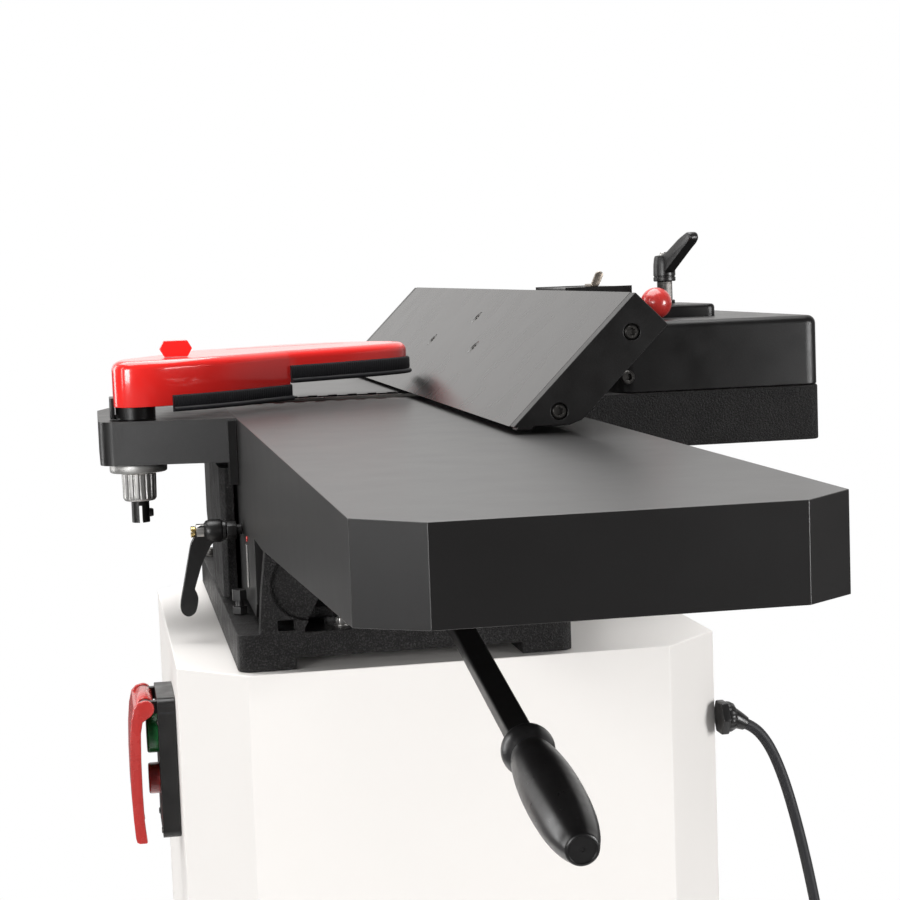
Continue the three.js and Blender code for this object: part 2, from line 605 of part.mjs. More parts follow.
// Near edge of the guard, from its left end round to its tip, as seen from above.
const GUARD_LEFT_END = [[-204, 722], [-203, 708], [-196, 700], [-182, 697.5]];
const GUARD_NEAR = [...GUARD_LEFT_END, [-160, 703], [-115, 728], [-63, 776]];
const GUARD_TIP = [[-63, 776], [0, 813], [34, 840], [42, 852], [45, 866], [42, 885]];
const GUARD_FAR = [[30, 905], [-5, 925], [-60, 920], [-105, 890], [-150, 862], [-172, 800], [-200, 745]];

// Rounded line through points, with a number of steps between one point and the next.
const smooth = (points, steps) =>
  new THREE.CatmullRomCurve3(points.map(([x, y]) => new THREE.Vector3(x, y, 0)))
    .getPoints(steps * (points.length - 1))
    .map((p) => [p.x, p.y]);

// A band between two distances on the outer side of a line of points.
const band = (line, inner, outer, z0, z1) => {
  const offset = (distance) =>
    line.map(([x, y], i) => {
      const [ax, ay] = line[Math.max(i - 1, 0)];
      const [bx, by] = line[Math.min(i + 1, line.length - 1)];
      const length = Math.hypot(bx - ax, by - ay);
      return [x + ((by - ay) / length) * distance, y - ((bx - ax) / length) * distance];
    });
  return upright([...offset(outer), ...offset(inner).reverse()], z0, z1);
};

const NEAR_LINE = smooth(GUARD_NEAR, 3);
const TIP_LINE = smooth(GUARD_TIP, 3);
const LOWER_STRIP_LINE = NEAR_LINE.slice(12);

const guardCasting = () => {
  const plan = [...NEAR_LINE, ...TIP_LINE.slice(1), ...GUARD_FAR];
  const { bottom, top, skirtBottom } = GUARD;
  return join(
    upright(plan, bottom, top),
    band(NEAR_LINE, -9, 0, skirtBottom, bottom + 2),
    cylinder(15, skirtBottom, bottom + 2, 24).translate(GUARD_PIVOT.x, GUARD_PIVOT.y, 0),
  );
};
add("guard_casting", guardCasting(), PAINT_RED, [0, 0, 0], guard);
add("guard_strip_lower", band(LOWER_STRIP_LINE, GAP, 4, 5.5, 18), RUBBER, [0, 0, 0], guard);
add("guard_strip_upper", band(TIP_LINE, GAP, 4, 19, 33), RUBBER, [0, 0, 0], guard);
// Six-sided lug lying on the guard, pointed towards both sides.
const guardBoss = () => {
  const z0 = GUARD.top + GAP;
  const z1 = z0 + 12.5;
  const middle = (z0 + z1) / 2;
  return alongY([[-9, z0], [9, z0], [12.5, middle], [9, z1], [-9, z1], [-12.5, middle]], -7, 7);
};
add("guard_boss", guardBoss(), PAINT_RED, [-154, 748, 0], guard);

const guardShaft = () => {
  const top = GUARD.skirtBottom - GAP;
  const shaft = turned([[0, -79], [6.8, -79], [6.8, GAP], [15, GAP], [15, top], [0, top]], 32);
  return cut(shaft, box(-1.2, 1.2, -20, 20, -90, -66));
};
const pivot = [GUARD_PIVOT.x, GUARD_PIVOT.y, 0];
add("guard_shaft", guardShaft(), PLASTIC_BLACK, pivot, guard);

const springKnob = () => {
  const top = -ARM.thickness - GAP;
  const skirt = [[7.1, -62.3], [11.5, -62.3], [12.6, -60], [12.8, -38]];
  const flange = [[21.8, -38], [21.8, top], [7.1, top], [7.1, -62.3]];
  const flutes = Array.from({ length: 10 }, (_, i) =>
    cylinder(2, -58, -40, 8).translate(13.6, 0, 0).rotateZ((i * Math.PI) / 5),
  );
  return cut(turned([...skirt, ...flange], 30), ...flutes);
};
add("guard_spring_knob", springKnob(), ALUMINIUM, pivot);

// ---------- fence support, carriage and fence ----------
const fenceSupport = () => {
  const { x0, x1, y0, y1, bottom, top, wall } = SUPPORT;
  const shell = upright(roundedRectangle(x0, x1, y0, y1, 8, 3), bottom, top);
  const hollow = box(x0 + wall, x1 - wall, y0 + wall, y1 - wall, bottom - 5, top - 8.4);
  const shaftSlot = box(x0 - 5, x0 + wall + 5, HEAD_Y - 17, HEAD_Y + 17, bottom - 5, HEAD_Z + 17);
  const lug = box(HALF + GAP, x0 + 4, 915, 985, -38, -6);
  return join(cut(shell, hollow, shaftSlot), lug);
};
add("fence_support", fenceSupport(), CAST_BLACK);

const fenceCarriage = () => {
  const { x1, y0, y1, top } = SUPPORT;
  const bottom = top + GAP;
  const body = upright(roundedRectangle(CARRIAGE.x0, x1, y0, y1, 12, 4), bottom, CARRIAGE.top);
  const pad = upright(roundedRectangle(240, 300, 800, 900, 8, 3), CARRIAGE.top - 2, CARRIAGE.padTop);
  const { x0: cradleX, x1: cradleEnd, y0: near, y1: far, shoulder, topX } = CRADLE;
  const cradle = join(
    box(cradleX, cradleEnd, near, far, CRADLE.bottom, shoulder),
    box(topX, cradleEnd, near, far, shoulder - 1, CRADLE.top),
  );
  const bore = cylinderY(SHOE_RADIUS + GAP, near - 5, far + 5, 96);
  bore.translate(TILT_AXIS.x, 0, TILT_AXIS.z);
  const underside = box(212, x1 - 8, y0 + 8, y1 - 8, bottom - 5, CARRIAGE.top - 10);
  const stemHole = cylinder(5.3, CARRIAGE.top - 20, CARRIAGE.padTop + 5, 24);
  stemHole.translate(SLIDE_LOCK.x, SLIDE_LOCK.y, 0);
  const pinHole = cylinderY(5.3, near - 5, near + 20, 24).translate(TILT_LOCK.x, 0, TILT_LOCK.z);
  return cut(join(body, pad, cut(cradle, bore)), underside, stemHole, pinHole);
};
add("fence_carriage", fenceCarriage(), PAINT_BLACK);

// Section of the leaning fence in X and Z; depth runs back from the working face.
const fencePoint = (along, depth) => [
  FENCE.x + along * Math.sin(FENCE_TILT) + depth * Math.cos(FENCE_TILT),
  FENCE.z + along * Math.cos(FENCE_TILT) - depth * Math.sin(FENCE_TILT),
];
const fenceSection = () => [
  fencePoint(0, 0),
  fencePoint(26, 26),
  fencePoint(34, FENCE.thickness),
  fencePoint(FENCE.height, FENCE.thickness),
  fencePoint(FENCE.height, 0),
];
const FENCE_Y1 = FENCE.y0 + FENCE.length;
const FACE_SCREWS = [
  { y: 733, along: 54.5 },
  { y: 822.6, along: 84 },
  { y: 926.5, along: 55 },
];
// Countersunk recess in the working face.
const countersink = ({ y, along }) => {
  const [x, z] = fencePoint(along, 0);
  const cone = turned([[0, -6], [3, -6], [3, -3.5], [6.5, 0.02], [6.5, 2], [0, 2]], 16);
  return cone.rotateY(-FENCE_TILT).translate(x, y, z);
};
const fencePlate = () => {
  const plate = alongY(fenceSection(), FENCE.y0 + FENCE.cap + GAP, FENCE_Y1 - FENCE.cap - GAP);
  return cut(plate, ...FACE_SCREWS.map(countersink));
};
add("fence_plate", fencePlate(), TABLE_GREY);
const CAP_SCREWS = [[118.7, 61.4], [70, 13.2]];
const nearCap = () => {
  const foot = alongY([[41.5, 2.4], [51.5, 2.4], [55.7, 8], [43.7, 8]], FENCE.y0, FENCE.y0 + FENCE.cap);
  const recesses = CAP_SCREWS.map(([x, z]) =>
    cylinderY(5.4, FENCE.y0 - 5, FENCE.y0 + 3, 20).translate(x, 0, z),
  );
  return cut(join(alongY(fenceSection(), FENCE.y0, FENCE.y0 + FENCE.cap), foot), ...recesses);
};
add("fence_end_near", nearCap(), PAINT_BLACK);
add("fence_end_far", alongY(fenceSection(), FENCE_Y1 - FENCE.cap, FENCE_Y1), PAINT_BLACK);

// Round shoe on the back of the fence; it turns in the carriage's cradle about the tilt axis.
const tiltShoe = () => {
  const disc = cylinderY(SHOE_RADIUS, CRADLE.y0 + 5, CRADLE.y1 - 5, 96);
  disc.translate(TILT_AXIS.x, 0, TILT_AXIS.z);
  const behind = alongY(
    [
      fencePoint(20, FENCE.thickness + GAP),
      fencePoint(20, 200),
      fencePoint(260, 200),
      fencePoint(260, FENCE.thickness + GAP),
    ],
    CRADLE.y0,
    CRADLE.y1,
  );
  const above = box(0, 250, CRADLE.y0 - 5, CRADLE.y1 + 5, CRADLE.bottom, 75);
  return common(common(disc, behind), above);
};
add("fence_tilt_shoe", tiltShoe(), CAST_BLACK);

const tiltLever = () => {
  const hub = cylinderY(9, -8, CRADLE.y0 - TILT_LOCK.y - GAP, 24);
  const pin = cylinderY(5, 0, CRADLE.y0 - TILT_LOCK.y + 14, 20);
  const rod = cylinderX(4.5, 0, 57, 20).rotateY(-0.138);
  return join(hub, pin, rod);
};
add("tilt_lock_lever", tiltLever(), STEEL, [TILT_LOCK.x, TILT_LOCK.y, TILT_LOCK.z]);
const tiltBall = () => {
  const ball = new THREE.SphereGeometry(12.8, 18, 12);
  const bore = cylinderX(4.5 + GAP, -30, -8.2 + GAP, 20).rotateY(-0.138);
  return cut(ball, bore);
};
add("tilt_lock_ball", tiltBall(), PLASTIC_RED, [TILT_LOCK.x + 64.6, TILT_LOCK.y, TILT_LOCK.z + 9]);

const slideLockHandle = () => {
  const foot = [[0, -20], [5, -20], [5, 0], [8.5, 0], [8.5, 3], [5, 4], [5, 19]];
  const hub = [[9.5, 20], [9.5, 36], [8, 41], [0, 41]];
  const underside = [[-8, 26], [6, 24], [16, 31], [38, 46], [46, 51]];
  const arm = [...underside, [49, 55], [47, 60], [42, 60.5], [8, 44], [-6, 40]];
  const handle = join(turned([...foot, ...hub], 24), acrossX(arm, -5, 5).rotateZ(-SLIDE_LOCK.heading));
  return handle.translate(0, 0, CARRIAGE.padTop + GAP);
};
add("slide_lock_handle", slideLockHandle(), PLASTIC_BLACK, [SLIDE_LOCK.x, SLIDE_LOCK.y, 0]);

const indexLever = () => {
  const z = CRADLE.top + GAP;
  const tab = [[-16, z + 1], [-4, z + 1], [-4, z + 10], [-10, z + 12.5], [-16, z + 12]];
  return join(box(-3, 3, -16, 10, z, z + 3), acrossX(tab, -3, 3));
};
add("index_stop_lever", indexLever(), STEEL, [192, 800, 0]);

// ---------- switch on the operator's side ----------
const switchHousing = () => {
  const { x0, x1, y0, y1, z0, z1 } = SWITCH;
  const casing = acrossX(roundedRectangle(y0, y1, z0, z1, 6, 3), x0, x1);
  const ears = [y0 + 6, y1 - 12].flatMap((y) => [
    box(HINGE.x, x0 + 2, y, y + 6, HINGE.z - 4.5, HINGE.z + 4.5),
    cylinderY(5.5, y, y + 6, 20).translate(HINGE.x, 0, HINGE.z),
  ]);
  const pinHole = cylinderY(2.3, y0 - 5, y1 + 5, 16).translate(HINGE.x, 0, HINGE.z);
  const wells = [START, STOP].map(({ y, z, radius }) =>
    cylinderX(radius + GAP, x0 - 5, x1 - 4, 32).translate(0, y, z),
  );
  return cut(join(casing, ...ears), pinHole, ...wells);
};
add("switch_housing", switchHousing(), PLASTIC_BLACK);

const button = ({ radius, stand }) => cylinderX(radius, SWITCH.x0 - stand, SWITCH.x1 - 8, 32);
add("start_button", button(START), PLASTIC_GREEN, [0, START.y, START.z]);
add("stop_button", button(STOP), PLASTIC_RED, [0, STOP.y, STOP.z]);

const stopPaddle = () => {
  const { y0, y1, z0, z1 } = SWITCH;
  const { x, z } = HINGE;
  const face = [[x - 7, z0 - 2], [x - 14, z0 - 2], [x - 9, z + 6], [x - 6, z + 6]];
  const plate = alongY(face, y0, y1);
  const knuckle = cylinderY(6.5, y0 + 13, y1 - 13, 20).translate(x, 0, z);
  const pin = cylinderY(2, y0 + 4, y1 - 4, 16).translate(x, 0, z);
  return join(plate, knuckle, pin);
};
add("stop_paddle", stopPaddle(), PLASTIC_RED);

// ---------- power cord ----------
const cableGland = () => {
  const face = CABINET.x1 + GAP;
  const nut = hexagon(24, face, face + 6).rotateY(Math.PI / 2);
  const dome = turnedX([[0, face + 2], [11, face + 2], [11, face + 7], [8, face + 12], [0, face + 12]], 24);
  const boot = turnedX([[0, -4], [7.4, -4], [5.2, 13], [0, 13]], 20).rotateY(GLAND.bootAngle);
  return join(nut, dome, boot.translate(face + 9, 0, 0));
};
add("cable_gland", cableGland(), PLASTIC_BLACK, [0, GLAND.y, GLAND.z]);

// Centre line from the gland to the coil, chosen by hand: it falls in one plane, then turns along
// the floor and runs on to the top of the coil.
const CORD_ROUTE = [
  [238, 560.5, -233.8],
  [241.5, 560.5, -235.7],
  [247, 560.5, -240.1],
  [252.5, 560.5, -247],
  [257.8, 560.5, -256.5],
  [262.8, 560.5, -268.5],
  [268, 560.5, -284],
  [274.5, 560.5, -308],
  [282, 560.5, -341],
  [289, 560.5, -378],
  [297, 560.5, -430],
  [305, 560.5, -500],
  [312, 560.5, -590],
  [317, 560.5, -680],
  [318, 561, -725],
  [318, 564.5, -758],
  [318, 574, -782],
  [318, 590, -796.2],
  [318, 605, -800],
  [318, 614, -800.4],
];
const cordSection = () => outline(arc(0, 0, CORD_RADIUS, 0, 2 * Math.PI, 8).slice(0, -1));
const powerCord = () => {
  const path = new THREE.CatmullRomCurve3(CORD_ROUTE.map((p) => new THREE.Vector3(...p)));
  return new THREE.ExtrudeGeometry(cordSection(), { steps: 42, extrudePath: path });
};
add("power_cord", powerCord(), RUBBER);

// Three turns lying side by side on the floor, wound from the inside out.
const cordCoil = () => {
  const { inner, outer, height } = COIL;
  const top = FLOOR + height;
  return turned([[inner, FLOOR], [outer, FLOOR], [outer, top], [inner, top], [inner, FLOOR]], 32);
};
add("cord_coil", cordCoil(), RUBBER, [COIL.x, COIL.y, 0]);

const plug = () => {
  const back = cylinderY(5.4, 0, 14, 16).translate(0, 0, 10);
  const body = alongY(roundedRectangle(-13, 13, 0, 22, 6, 3), 12, PLUG.length);
  const blades = [-6.5, 6.5].map((x) => box(x - 0.8, x + 0.8, PLUG.length - 1, PLUG.length + 16, 5, 12));
  const earth = cylinderY(2.4, PLUG.length - 1, PLUG.length + 18, 12).translate(0, 0, 16);
  return join(back, body, ...blades, earth);
};
add("plug", plug(), PLASTIC_BLACK, [PLUG.x, PLUG.y, FLOOR + 0.1]);

export default bed;
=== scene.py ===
"""Eight-inch surface planer on a cabinet stand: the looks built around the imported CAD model.

Metres, +Z up. bed(x, y, z) turns millimetres measured on the tables (X across from the middle,
Y along from the infeed end, Z up from the infeed surface) into the model's own frame.
"""
import json
import math

import bmesh
import bpy
from mathutils import Matrix, Vector


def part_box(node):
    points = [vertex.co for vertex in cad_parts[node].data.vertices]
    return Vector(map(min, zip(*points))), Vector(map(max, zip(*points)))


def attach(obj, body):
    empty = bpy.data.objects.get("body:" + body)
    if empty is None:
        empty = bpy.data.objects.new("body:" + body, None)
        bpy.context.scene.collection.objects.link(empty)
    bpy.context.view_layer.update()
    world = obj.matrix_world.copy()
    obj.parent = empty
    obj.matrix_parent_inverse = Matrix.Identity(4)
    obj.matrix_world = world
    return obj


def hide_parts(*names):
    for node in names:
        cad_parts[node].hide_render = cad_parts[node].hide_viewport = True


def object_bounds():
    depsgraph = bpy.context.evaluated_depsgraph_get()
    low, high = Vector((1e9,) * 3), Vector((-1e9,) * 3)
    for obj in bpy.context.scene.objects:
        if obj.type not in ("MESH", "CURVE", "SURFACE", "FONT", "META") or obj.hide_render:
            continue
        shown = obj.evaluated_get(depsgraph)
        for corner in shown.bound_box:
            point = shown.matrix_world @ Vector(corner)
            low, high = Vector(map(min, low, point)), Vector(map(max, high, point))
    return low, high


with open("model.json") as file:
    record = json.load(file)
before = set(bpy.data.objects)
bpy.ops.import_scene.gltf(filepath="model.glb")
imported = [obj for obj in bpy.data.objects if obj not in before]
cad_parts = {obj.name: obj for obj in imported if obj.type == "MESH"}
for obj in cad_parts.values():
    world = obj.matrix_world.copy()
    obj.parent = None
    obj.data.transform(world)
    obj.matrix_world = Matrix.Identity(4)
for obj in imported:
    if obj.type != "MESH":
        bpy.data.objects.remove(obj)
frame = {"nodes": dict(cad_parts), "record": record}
CAD_BOUNDS = [list(corner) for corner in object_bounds()]
NODES = frame["nodes"]
MM = 0.001

table_low, table_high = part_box("infeed_table")
BED = Vector(((table_low.x + table_high.x) / 2, table_low.y, table_high.z))
FLOOR_Z = CAD_BOUNDS[0][2]


def bed(x, y, z):
    return BED + Vector((x, y, z)) * MM


# ---------------------------------------------------------------- camera and light
def make_camera():
    yaw, pitch, roll = (math.radians(a) for a in (10.07, 5.18, -2.12))
    ahead = Vector((math.sin(yaw) * math.cos(pitch), math.cos(yaw) * math.cos(pitch), -math.sin(pitch)))
    level = Vector((math.cos(yaw), -math.sin(yaw), 0))
    up = level.cross(ahead)
    right = level * math.cos(roll) + up * math.sin(roll)
    up = up * math.cos(roll) - level * math.sin(roll)
    data = bpy.data.cameras.new("camera")
    data.lens = 80.9
    data.clip_end = 100
    camera = bpy.data.objects.new("camera", data)
    bpy.context.scene.collection.objects.link(camera)
    turn = Matrix((right, up, -ahead)).transposed().to_4x4()
    camera.matrix_world = Matrix.Translation(bed(-221.9, -834.7, 106.9)) @ turn
    bpy.context.scene.camera = camera


def area_light(name, place, target, size, power):
    data = bpy.data.lights.new(name, "AREA")
    data.shape = "RECTANGLE"
    data.size, data.size_y = size
    data.energy = power
    lamp = bpy.data.objects.new(name, data)
    bpy.context.scene.collection.objects.link(lamp)
    lamp.location = place
    lamp.rotation_euler = (Vector(target) - Vector(place)).to_track_quat("-Z", "Y").to_euler()


def studio_world():
    """White behind and above the machine, a dim room in front of it; the backdrop itself is white."""
    world = bpy.data.worlds.new("studio")
    bpy.context.scene.world = world
    world.use_nodes = True
    nodes, links = world.node_tree.nodes, world.node_tree.links
    direction = nodes.new("ShaderNodeTexCoord")
    parts = nodes.new("ShaderNodeSeparateXYZ")
    ramp = nodes.new("ShaderNodeValToRGB")
    remap = nodes.new("ShaderNodeMapRange")
    remap.inputs["From Min"].default_value = -1
    links.new(direction.outputs["Generated"], parts.inputs[0])
    links.new(parts.outputs["Y"], remap.inputs["Value"])
    links.new(remap.outputs[0], ramp.inputs[0])
    ramp.color_ramp.elements[0].position = 0.47
    ramp.color_ramp.elements[0].color = (0.09, 0.09, 0.09, 1)
    ramp.color_ramp.elements[1].position = 0.86
    ramp.color_ramp.elements[1].color = (1.0, 0.985, 0.97, 1)
    seen = nodes.new("ShaderNodeLightPath")
    pick = nodes.new("ShaderNodeMix")
    pick.data_type = "RGBA"
    pick.inputs["B"].default_value = (1, 1, 1, 1)
    links.new(seen.outputs["Is Camera Ray"], pick.inputs["Factor"])
    links.new(ramp.outputs["Color"], pick.inputs["A"])
    links.new(pick.outputs["Result"], nodes["Background"].inputs["Color"])


def studio_floor():
    """Pale floor near the machine; further out it is dark to light and white to the camera."""
    floor = mesh_object("floor", *disc(60, 96))
    floor.location.z = FLOOR_Z
    material = new_material("floor_white")
    nodes, links = material.node_tree.nodes, material.node_tree.links
    shader = nodes["Principled BSDF"]
    shader.inputs["Roughness"].default_value = 0.9
    tone = nodes.new("ShaderNodeValToRGB")
    tone.color_ramp.elements[0].color = (0.9, 0.9, 0.9, 1)
    tone.color_ramp.elements[1].color = (0.12, 0.12, 0.12, 1)
    where = nodes.new("ShaderNodeTexCoord")
    distance = nodes.new("ShaderNodeVectorMath")
    distance.operation = "LENGTH"
    fade = nodes.new("ShaderNodeMapRange")
    fade.interpolation_type = "SMOOTHSTEP"
    fade.inputs["From Min"].default_value = 0.5
    fade.inputs["From Max"].default_value = 1.15
    seen = nodes.new("ShaderNodeLightPath")
    only_seen = nodes.new("ShaderNodeMath")
    only_seen.operation = "MULTIPLY"
    white = nodes.new("ShaderNodeEmission")
    blend = nodes.new("ShaderNodeMixShader")
    links.new(where.outputs["Object"], distance.inputs[0])
    links.new(distance.outputs["Value"], fade.inputs["Value"])
    links.new(fade.outputs[0], tone.inputs[0])
    links.new(tone.outputs["Color"], shader.inputs["Base Color"])
    links.new(fade.outputs[0], only_seen.inputs[0])
    links.new(seen.outputs["Is Camera Ray"], only_seen.inputs[1])
    links.new(only_seen.outputs[0], blend.inputs["Fac"])
    links.new(shader.outputs[0], blend.inputs[1])
    links.new(white.outputs[0], blend.inputs[2])
    links.new(blend.outputs[0], nodes["Material Output"].inputs["Surface"])
    floor.data.materials.append(material)


def make_studio():
    bpy.context.scene.view_settings.view_transform = "Standard"
    studio_world()
    studio_floor()
    aim = bed(0, 500, -100)
    area_light("overhead", bed(-200, 1100, 2300), aim, (2.6, 2.6), 130)
    area_light("left_strip", bed(-2300, -300, 550), aim, (0.3, 2.0), 12)
    area_light("left_back", bed(-2100, 1900, 350), aim, (0.6, 2.0), 22)
    area_light("left_key", bed(-2500, -2600, 300), bed(0, 522, -450), (1.5, 1.5), 114)
    area_light("right_key", bed(3100, -1900, 100), bed(0, 522, -450), (1.4, 1.4), 125)


# ---------------------------------------------------------------- mesh building
def mesh_object(name, points, faces, smooth=0):
    """A mesh object; smooth is the angle in degrees under which faces shade as one surface."""
    mesh = bpy.data.meshes.new(name)
    mesh.from_pydata([tuple(p) for p in points], [], faces)
    made = bmesh.new()
    made.from_mesh(mesh)
    bmesh.ops.recalc_face_normals(made, faces=made.faces)
    made.to_mesh(mesh)
    made.free()
    thing = bpy.data.objects.new(name, mesh)
    bpy.context.scene.collection.objects.link(thing)
    if smooth:
        mesh.shade_smooth()
        mesh.set_sharp_from_angle(angle=math.radians(smooth))
    return thing


def disc(radius, count):
    points = [(radius * math.cos(2 * math.pi * i / count), radius * math.sin(2 * math.pi * i / count), 0)
              for i in range(count)]
    return points, [list(range(count))]


def skin(rings, closed=False):
    """Points and faces through rings of equal length, capped at both ends unless closed on itself."""
    count = len(rings[0])
    points = [p for ring in rings for p in ring]
    faces = []
    spans = len(rings) if closed else len(rings) - 1
    for i in range(spans):
        a, b = i * count, ((i + 1) % len(rings)) * count
        faces += [[a + j, a + (j + 1) % count, b + (j + 1) % count, b + j] for j in range(count)]
    if not closed:
        faces.append(list(range(count))[::-1])
        faces.append([len(points) - count + j for j in range(count)])
    return points, faces


def finish_piece(thing, body, material, *replaced, slot=None):
    thing.data.materials.append(material)
    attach(thing, body)
    if replaced:
        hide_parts(*replaced)
    return thing


def axis_frame(origin, along, side=(0, 0, 1)):
    """Matrix with its own Z along the given direction."""
    z = Vector(along).normalized()
    x = Vector(side)
    x = (x - z * x.dot(z))
    x = x.normalized() if x.length > 1e-6 else z.orthogonal().normalized()
    turn = Matrix((x, z.cross(x), z)).transposed().to_4x4()
    return Matrix.Translation(origin) @ turn


def lathe(profile, place, count=48, ripple=None):
    """Rings about place's Z axis; profile is [radius, height] in millimetres, ripple(angle, i) scales."""
    rings = []
    for i, (radius, height) in enumerate(profile):
        ring = []
        for j in range(count):
            angle = 2 * math.pi * j / count
            r = max(radius, 0.02) * (ripple(angle, i) if ripple else 1)
            ring.append(place @ (Vector((r * math.cos(angle), r * math.sin(angle), height)) * MM))
        rings.append(ring)
    return skin(rings)


def curve_through(points, steps):
    """Centripetal Catmull-Rom line through points, with steps pieces between neighbours."""
    padded = [points[0] * 2 - points[1], *points, points[-1] * 2 - points[-2]]
    out = []
    for p0, p1, p2, p3 in zip(padded, padded[1:], padded[2:], padded[3:]):
        a, b, c = ((q - p).length ** 0.5 for p, q in ((p0, p1), (p1, p2), (p2, p3)))
        leave = ((p1 - p0) / a - (p2 - p0) / (a + b) + (p2 - p1) / b) * b
        arrive = ((p2 - p1) / b - (p3 - p1) / (b + c) + (p3 - p2) / c) * b
        for k in range(steps):
            t = k / steps
            out.append(p1 * (2 * t ** 3 - 3 * t * t + 1) + p2 * (3 * t * t - 2 * t ** 3)
                       + leave * (t ** 3 - 2 * t * t + t) + arrive * (t ** 3 - t * t))
    out.append(points[-1].copy())
    return out


# ---------------------------------------------------------------- materials
def new_material(name):
    material = bpy.data.materials.new(name)
    material.use_nodes = True
    return material


def surface(name, color, roughness, metallic=0.0, *, spread=0.12, patch=14, speckle=0.0, speckle_scale=900,
            bump=0.0, bump_scale=700, bump_detail=6, bump_depth=0.1,
            coat=0.0, rough_spread=0.06,
            specular=0.5, stretch=(1, 1, 1), dust=0.0):
    """Procedural finish: large tonal patches, fine speckle, roughness breakup and grain."""
    material = new_material(name)
    nodes, links = material.node_tree.nodes, material.node_tree.links
    shader = nodes["Principled BSDF"]
    shader.inputs["Metallic"].default_value = metallic
    shader.inputs["Specular IOR Level"].default_value = specular
    if coat:
        shader.inputs["Coat Weight"].default_value = coat
        shader.inputs["Coat Roughness"].default_value = 0.08
    where = nodes.new("ShaderNodeTexCoord")
    mapping = nodes.new("ShaderNodeMapping")
    mapping.inputs["Scale"].default_value = stretch
    links.new(where.outputs["Object"], mapping.inputs["Vector"])

    def noise(scale, detail, roughness_=0.55):
        node = nodes.new("ShaderNodeTexNoise")
        node.inputs["Scale"].default_value = scale
        node.inputs["Detail"].default_value = detail
        node.inputs["Roughness"].default_value = roughness_
        links.new(mapping.outputs[0], node.inputs["Vector"])
        return node.outputs["Fac"]

    def remap(value, low, high, from_low=0.3, from_high=0.7):
        node = nodes.new("ShaderNodeMapRange")
        for key, number in (("From Min", from_low), ("From Max", from_high), ("To Min", low),
                            ("To Max", high)):
            node.inputs[key].default_value = number
        links.new(value, node.inputs["Value"])
        return node.outputs[0]

    def mix(factor, a, b):
        node = nodes.new("ShaderNodeMix")
        node.data_type = "RGBA"
        for key, value in (("Factor", factor), ("A", a), ("B", b)):
            if isinstance(value, (tuple, list)):
                node.inputs[key].default_value = (*value[:3], 1)
            elif isinstance(value, (int, float)):
                node.inputs[key].default_value = value
            else:
                links.new(value, node.inputs[key])
        return node.outputs["Result"]

    dark = tuple(c * (1 - spread) for c in color)
    light = tuple(min(c * (1 + spread), 1) for c in color)
    patches = noise(patch, 5)
    tint = mix(remap(patches, 0, 1), dark, light)
    if speckle:
        grain = noise(speckle_scale, 2, 0.7)
        bright = tuple(min(c * (1 + 3 * speckle) + 0.02 * speckle, 1) for c in color)
        tint = mix(remap(grain, 0, speckle, 0.48, 0.75), tint, bright)
    if dust:
        up = nodes.new("ShaderNodeSeparateXYZ")
        links.new(nodes.new("ShaderNodeNewGeometry").outputs["Normal"], up.inputs[0])
        settled = nodes.new("ShaderNodeMath")
        settled.operation = "MULTIPLY"
        links.new(remap(up.outputs["Z"], 0, dust, 0.4, 1), settled.inputs[0])
        links.new(remap(noise(45, 6), 0, 1, 0.4, 0.7), settled.inputs[1])
        tint = mix(settled.outputs[0], tint, (0.35, 0.33, 0.31))
    links.new(tint, shader.inputs["Base Color"])
    links.new(remap(noise(patch * 3, 6), roughness - rough_spread, roughness + rough_spread),
              shader.inputs["Roughness"])
    if bump:
        height = nodes.new("ShaderNodeBump")
        height.inputs["Strength"].default_value = min(bump, 1)
        height.inputs["Distance"].default_value = bump_depth * MM
        links.new(noise(bump_scale, bump_detail), height.inputs["Height"])
        links.new(height.outputs[0], shader.inputs["Normal"])
    return material


